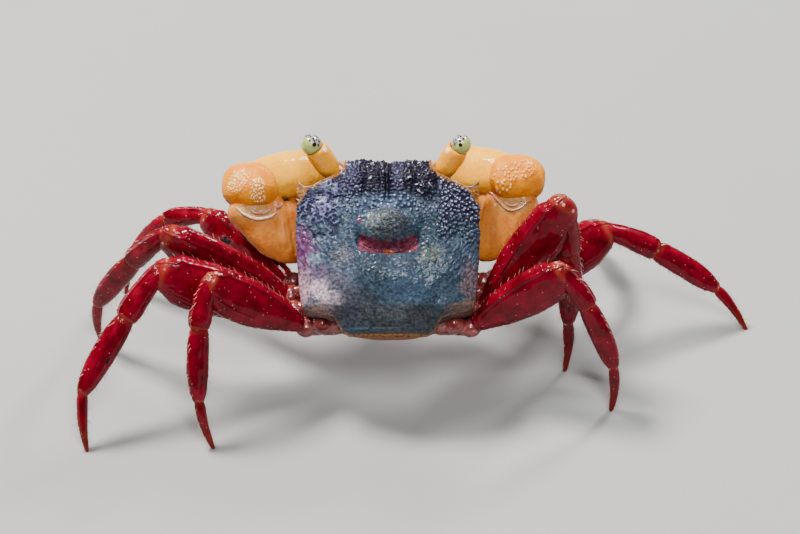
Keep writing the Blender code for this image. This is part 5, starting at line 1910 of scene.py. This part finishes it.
def sculpt_segment(kind, local, normals, length, breadth, seed):
    """Ridges, teeth, lips and grain of one segment. Returns the lift and the marks."""
    x, y, z = local.T
    share = z / length
    angle = np.arctan2(y / breadth, x / breadth)
    rows = np.array(SEGMENT_FORMS[kind][0])
    above = np.interp(share, rows[:, 0], rows[:, 1]) * breadth
    below = np.interp(share, rows[:, 0], rows[:, 2]) * breadth
    level = y / np.where(y > 0, above, below)
    crest = smooth_step(0.75, 0.98, np.sin(angle))
    keel = smooth_step(0.75, 0.98, -np.sin(angle))
    inside = np.abs(normals[:, 2]) > 0.85
    fields = smooth_step(0.35, 0.6, drift(local, 0.8, seed + 3) + 0.5)
    grain = beads(local * (1.0, 1.0, 0.5), 0.34, seed) * fields
    sparse = beads(local, 0.42, seed + 9, 0.17, 0.7)
    small = beads(local, 0.26, seed + 5)
    end_lip = hump(share - 0.985, 0.02) * ~inside
    start_lip = hump(share - 0.03, 0.04)
    lift = 0.035 * drift(local, 0.9, seed + 7) + 0.06 * sparse * (np.abs(normals[:, 2]) < 0.8)
    if kind == "merus":
        saw = np.abs(np.sin(z * 4.2))
        ridge = hump(level - 0.7, 0.06) * smooth_step(0.1, 0.25, share)
        lines = sum(hump(level + place, 0.035) for place in (0.58, 0.7, 0.82))
        lines = lines * smooth_step(0.25, 0.4, share) * smooth_step(0.97, 0.9, share)
        lift += 0.05 * crest * saw + 0.03 * keel * saw + 0.1 * ridge + 0.05 * lines + 0.03 * end_lip
        lift += 0.02 * grain
        raised = sparse * (0.4 + 0.6 * smooth_step(0.3, 0.7, share)) + ridge * 0.5 + crest * saw * 0.3
    elif kind == "carpus":
        ridge = hump(np.abs(x) - 0.16 * breadth, 0.11) * (y > 0)
        lift += 0.11 * ridge + 0.02 * small + 0.04 * crest + 0.03 * end_lip
        raised = sparse * 0.9
    elif kind == "propodus":
        groove = hump(y, 0.12 * breadth) * smooth_step(0.05, 0.2, share)
        groove = groove * (1 - smooth_step(0.8, 0.95, share))
        lift += -0.06 * groove + 0.02 * small + 0.05 * crest + 0.03 * end_lip
        raised = sparse * 0.9
    elif kind == "dactylus":
        groove = np.abs(np.sin(angle * 3)) ** 0.5
        lift += 0.035 * groove * (1 - smooth_step(0.85, 1.0, share)) * smooth_step(0.02, 0.15, share)
        raised = small * 0.3
    else:
        lift += 0.02 * small + 0.05 * end_lip
        raised = sparse * 0.6
    joint = 0.9 * smooth_step(0.965, 1.0, share) + 0.4 * smooth_step(0.03, 0.0, share)
    # The leg shell finish paints the raised places lighter red, as a painted highlight.
    marks = {
        "raised": raised,
        "joint": joint,
        "lip": np.maximum(end_lip, start_lip * 0.4),
        "toe": smooth_step(0.1, 1.0, share) if kind == "dactylus" else np.zeros(len(z)),
    }
    return lift, marks


def make_masters():
    """Each kind of leg segment is drawn out once, at a length and breadth of one metre."""
    masters = {}
    for kind, (rows, sides, levels) in SEGMENT_FORMS.items():
        masters[kind] = ringed_form("master_" + kind, rows, sides)
        smoothed(masters[kind], levels)
    return masters


def make_segment(masters, kind, name, start, end, directions, breadth, seed, finish):
    across, rise, along = directions
    length = np.linalg.norm(end - start)
    piece = copy_of(masters[kind], name + "_skin")
    local = read_points(piece) * MM * (breadth, breadth, length)
    write_points(piece, local)
    normals = read_normals(piece)
    lift, marks = sculpt_segment(kind, local, normals, length, breadth, seed)
    shares = np.clip(local[:, 2] / length, 0, 1)
    local = local + normals * lift[:, None]
    local[:, 1] += BOWS[kind] * np.sin(math.pi * shares)
    turned = np.outer(local[:, 0], across) + np.outer(local[:, 1], rise) + np.outer(local[:, 2], along)
    points = start + turned
    points[:, 2] = np.maximum(points[:, 2], 0)
    write_points(piece, points)
    if np.dot(np.cross(across, rise), along) < 0:
        piece.data.flip_normals()
    stain = np.zeros(len(points))
    if name in STAINS:
        at, height, reach = STAINS[name]
        way_z, way_y = (shares - at) * length / reach, (local[:, 1] - height) / reach
        rays = 1 + 0.45 * np.cos(6 * np.arctan2(way_y, way_z)) + 0.3 * drift(points, 0.15, 31)
        stain = smooth_step(1.0, 0.3, np.hypot(way_y, way_z) / rays)
    for key, values in marks.items():
        mark(piece, key, values)
    mark(piece, "stain", stain)
    put_on(piece, "leg_shell", finish, name)
    return piece, local, length, directions


# Half sizes of the soft skin at the start of each segment, as shares of that segment's breadth
JOINT_SIZES = {
    "merus": (0.14, 0.145, 0.2),
    "carpus": (0.32, 0.35, 0.46),
    "propodus": (0.31, 0.36, 0.3),
    "dactylus": (0.17, 0.19, 0.2),
}
# Bristles on the edges of each segment
BRISTLES = {"merus": 34, "carpus": 20, "propodus": 40, "dactylus": 44}
BRISTLE_PATCH = 0.003


def bristle_roots(kind, count, start, length, breadth, directions, seed):
    """Roots, ways and unwrapped places of bristles strewn along both edges of a segment."""
    across, rise, along = directions
    rows = np.array(SEGMENT_FORMS[kind][0])
    number = np.arange(count)
    share = 0.06 + 0.9 * (number + chance(number, 1, 0, seed)) / count
    swing = (chance(number, 2, 0, seed) - 0.5) * 1.1
    angle = np.where(number % 2 == 0, 0.5, -0.5) * math.pi + swing
    above = np.interp(share, rows[:, 0], rows[:, 1])
    below = np.interp(share, rows[:, 0], rows[:, 2])
    half = np.interp(share, rows[:, 0], rows[:, 3])
    x = np.cos(angle) * half * breadth * 0.98
    y = np.sin(angle) * np.where(np.sin(angle) > 0, above, below) * breadth * 0.98
    y += BOWS[kind] * np.sin(math.pi * share)
    roots = start + np.outer(x, across) + np.outer(y, rise) + np.outer(share * length, along)
    out = np.outer(np.cos(angle), across) + np.outer(np.sin(angle), rise)
    ways = out * 0.75 + along * (0.5 + 0.3 * chance(number, 3, 0, seed))[:, None]
    strip = SEGMENTS.index(kind) - 1
    round_share = angle / (2 * math.pi) + 0.5
    places = np.column_stack(((strip + 0.05 + 0.9 * round_share) / 4, 0.02 + 0.96 * share))
    return roots, ways / np.linalg.norm(ways, axis=1)[:, None], places, np.tile(along, (count, 1))


def make_bristles(name, roots, ways, places, lies, finish, slot, seed):
    """Thin curved spikes, joined into one mesh, each with its own small patch on the unwrap."""
    count = len(roots)
    number = np.arange(count)
    long = 0.28 + 0.34 * chance(number, 4, 0, seed)
    thick = 0.022 + 0.014 * chance(number, 5, 0, seed)
    side = np.cross(ways, lies)
    side /= np.linalg.norm(side, axis=1)[:, None] + 1e-9
    other = np.cross(ways, side)
    points, shares, patches = [], [], []
    for share, width in ((-0.15, 1.0), (0.4, 0.8), (0.75, 0.5)):
        middle = roots + ways * (long * share)[:, None] + lies * (0.25 * long * max(share, 0) ** 2)[:, None]
        for turn in (0, 1, 2, 3):
            c, s = math.cos(turn * math.pi / 2), math.sin(turn * math.pi / 2)
            points.append(middle + (side * c + other * s) * (thick * width)[:, None])
            shares.append(np.full(count, max(share, 0)))
            patches.append(places + np.array((c, s)) * BRISTLE_PATCH / 2 * (1 - 0.8 * max(share, 0)))
    points.append(roots + ways * long[:, None] + lies * (0.25 * long)[:, None])
    shares.append(np.ones(count))
    patches.append(places)
    points = np.stack(points, 1).reshape(-1, 3)
    patches = np.stack(patches, 1).reshape(-1, 2)
    faces = []
    for first in range(0, count * 13, 13):
        faces.append((first + 3, first + 2, first + 1, first))
        for row in (0, 4):
            for i in range(4):
                j = (i + 1) % 4
                faces.append((first + row + i, first + row + j, first + row + 4 + j, first + row + 4 + i))
        for i in range(4):
            faces.append((first + 8 + i, first + 8 + (i + 1) % 4, first + 12))
    points[:, 2] = np.maximum(points[:, 2], 0.01)
    piece = new_mesh(name, points, faces)
    layer = piece.data.uv_layers.new(name="OFBake")
    corners = np.empty(len(piece.data.loops), np.int32)
    piece.data.loops.foreach_get("vertex_index", corners)
    layer.data.foreach_set("uv", patches[corners].astype(np.float32).ravel())
    mark(piece, "along", np.stack(shares, 1).ravel())
    face_out(piece)
    return put_on(piece, slot, finish)


def make_leg(side, number, masters, ball, finishes):
    points, ahead, up = leg_joints(side, number)
    merus_breadth, shin_breadth = LEG_BREADTHS[number]
    coxa_start = to_world(mirrored(COXA_ROOTS[number], side))
    starts = (coxa_start, *points[:-1])
    soft, roots = [], []
    for i, kind in enumerate(SEGMENTS):
        start, end = starts[i], points[i]
        if kind == "coxa":
            directions = coxa_frame(start, end)
            breadth = merus_breadth * 0.24
        else:
            directions = segment_frame(start, end, ahead, up)
            breadth = merus_breadth if kind == "merus" else shin_breadth
        name = f"leg{number}_{side}_{kind}"
        seed = number * 100 + i * 10 + (5 if side == "right" else 0)
        finish = finishes["coxa" if kind == "coxa" else "leg"]
        make_segment(masters, kind, name, start, end, directions, breadth, seed, finish)
        if kind in JOINT_SIZES:
            reaches = np.array(JOINT_SIZES[kind]) * breadth
            centre = start + directions[2] * 0.12 - directions[1] * 0.08
            soft.append(make_lump(ball, name + "_membrane", centre, directions, reaches, seed + 3))
            length = np.linalg.norm(end - start)
            roots.append(bristle_roots(kind, BRISTLES[kind], start, length, breadth, directions, seed))
    put_on(joined(f"leg{number}_{side}_membranes", soft), "leg_shell", finishes["joint"])
    back = turn_matrix() @ (0, 0, 1)
    domes = [(points[0] + back * 0.1, 0.235 * merus_breadth)]
    if number == 5:
        domes.append((coxa_start * 0.42 + points[0] * 0.58 + back * 0.75, 0.22 * merus_breadth))
    frame = (np.array((1.0, 0, 0)), unit(np.cross(back, (1, 0, 0))), back)
    lumps = [
        make_lump(ball, f"dome_{i}", place, frame, (size, size, size * 0.9), number * 11 + i)
        for i, (place, size) in enumerate(domes)
    ]
    put_on(joined(f"leg{number}_{side}_domes", lumps), "leg_shell", finishes["coxa"])
    gathered = [np.concatenate(values) for values in zip(*roots)]
    make_bristles(f"leg{number}_{side}_bristles", *gathered, finishes["bristle"], "leg_shell", number * 7)


# Studio


def make_studio():
    nothing_selected()
    bpy.ops.mesh.primitive_plane_add(size=4)
    floor = bpy.context.active_object
    floor.name = "studio_floor"
    floor.data.materials.append(floor_finish())
    for name, place, target, size, watts, colour in (
        ("key", (-0.17, 0.13, 0.36), (0, 0, 0.008), 0.09, 4.6, (1, 0.98, 0.95)),
        ("rim", (0.2, 0.26, 0.24), (0, 0, 0.01), 0.07, 1.6, (0.96, 0.98, 1)),
        ("fill", (0.05, -0.2, 0.42), (0, 0, 0.01), 0.14, 1.9, (1, 1, 1)),
    ):
        light = bpy.data.lights.new(name, "AREA")
        light.shape = "SQUARE"
        light.size = size
        light.energy = watts
        light.color = colour
        lamp = bpy.data.objects.new(name, light)
        lamp.location = place
        lamp.rotation_euler = (Vector(target) - Vector(place)).to_track_quat("-Z", "Y").to_euler()
        bpy.context.scene.collection.objects.link(lamp)
    world = bpy.data.worlds.new("studio")
    world.use_nodes = True
    world.node_tree.nodes["Background"].inputs["Color"].default_value = (0.9, 0.93, 1, 1)
    world.node_tree.nodes["Background"].inputs["Strength"].default_value = 0.1
    bpy.context.scene.world = world


def make_camera():
    lens = bpy.data.cameras.new("camera")
    lens.lens = CAMERA_LENS
    lens.clip_start = 0.01
    camera = bpy.data.objects.new("camera", lens)
    camera.location = np.array(CAMERA_PLACE) * MM
    camera.rotation_euler = (math.radians(90 - CAMERA_DOWN), 0, 0)
    bpy.context.scene.collection.objects.link(camera)
    bpy.context.scene.camera = camera


def main():
    make_camera()
    make_groups()
    make_studio()
    make_carapace(carapace_finish())
    make_underside(plated_finish("underside shell"))
    make_abdomen(plated_finish("abdomen shell"))
    mouth = plated_finish("mouth cover shell")
    antenna = plated_finish("antenna")
    stalk, cornea = stalk_finish(), cornea_finish()
    claw = claw_finish()
    rim = joint_skin_finish("orbit rim", (0.36, 0.24, 0.22), (0.1, 0.05, 0.06))
    skins = {
        "pale": joint_skin_finish("pale fold", (0.92, 0.62, 0.42), (0.66, 0.3, 0.14)),
        "pink": joint_skin_finish("pink fold", (0.6, 0.26, 0.2), (0.36, 0.1, 0.07)),
        "olive": joint_skin_finish("claw joint skin", (0.5, 0.24, 0.08), (0.28, 0.1, 0.025)),
    }
    finishes = {
        "leg": leg_finish(),
        "coxa": coxa_finish(),
        "joint": joint_skin_finish("leg joint skin", (0.36, 0.09, 0.035), (0.16, 0.02, 0.008)),
        "bristle": bristle_finish("bristles", (0.75, 0.5, 0.34), (0.4, 0.16, 0.09)),
    }
    masters = make_masters()
    ball = make_ball()
    for side in SIDES:
        make_orbit_rim(side, rim)
        make_mouth_cover(side, mouth)
        make_eye(side, stalk, cornea)
        make_antenna(side, antenna)
        make_claw(side, claw, skins, ball)
        for number in LEG_ROOTS:
            make_leg(side, number, masters, ball, finishes)
    for master in (ball, *masters.values()):
        remove(master)


main()
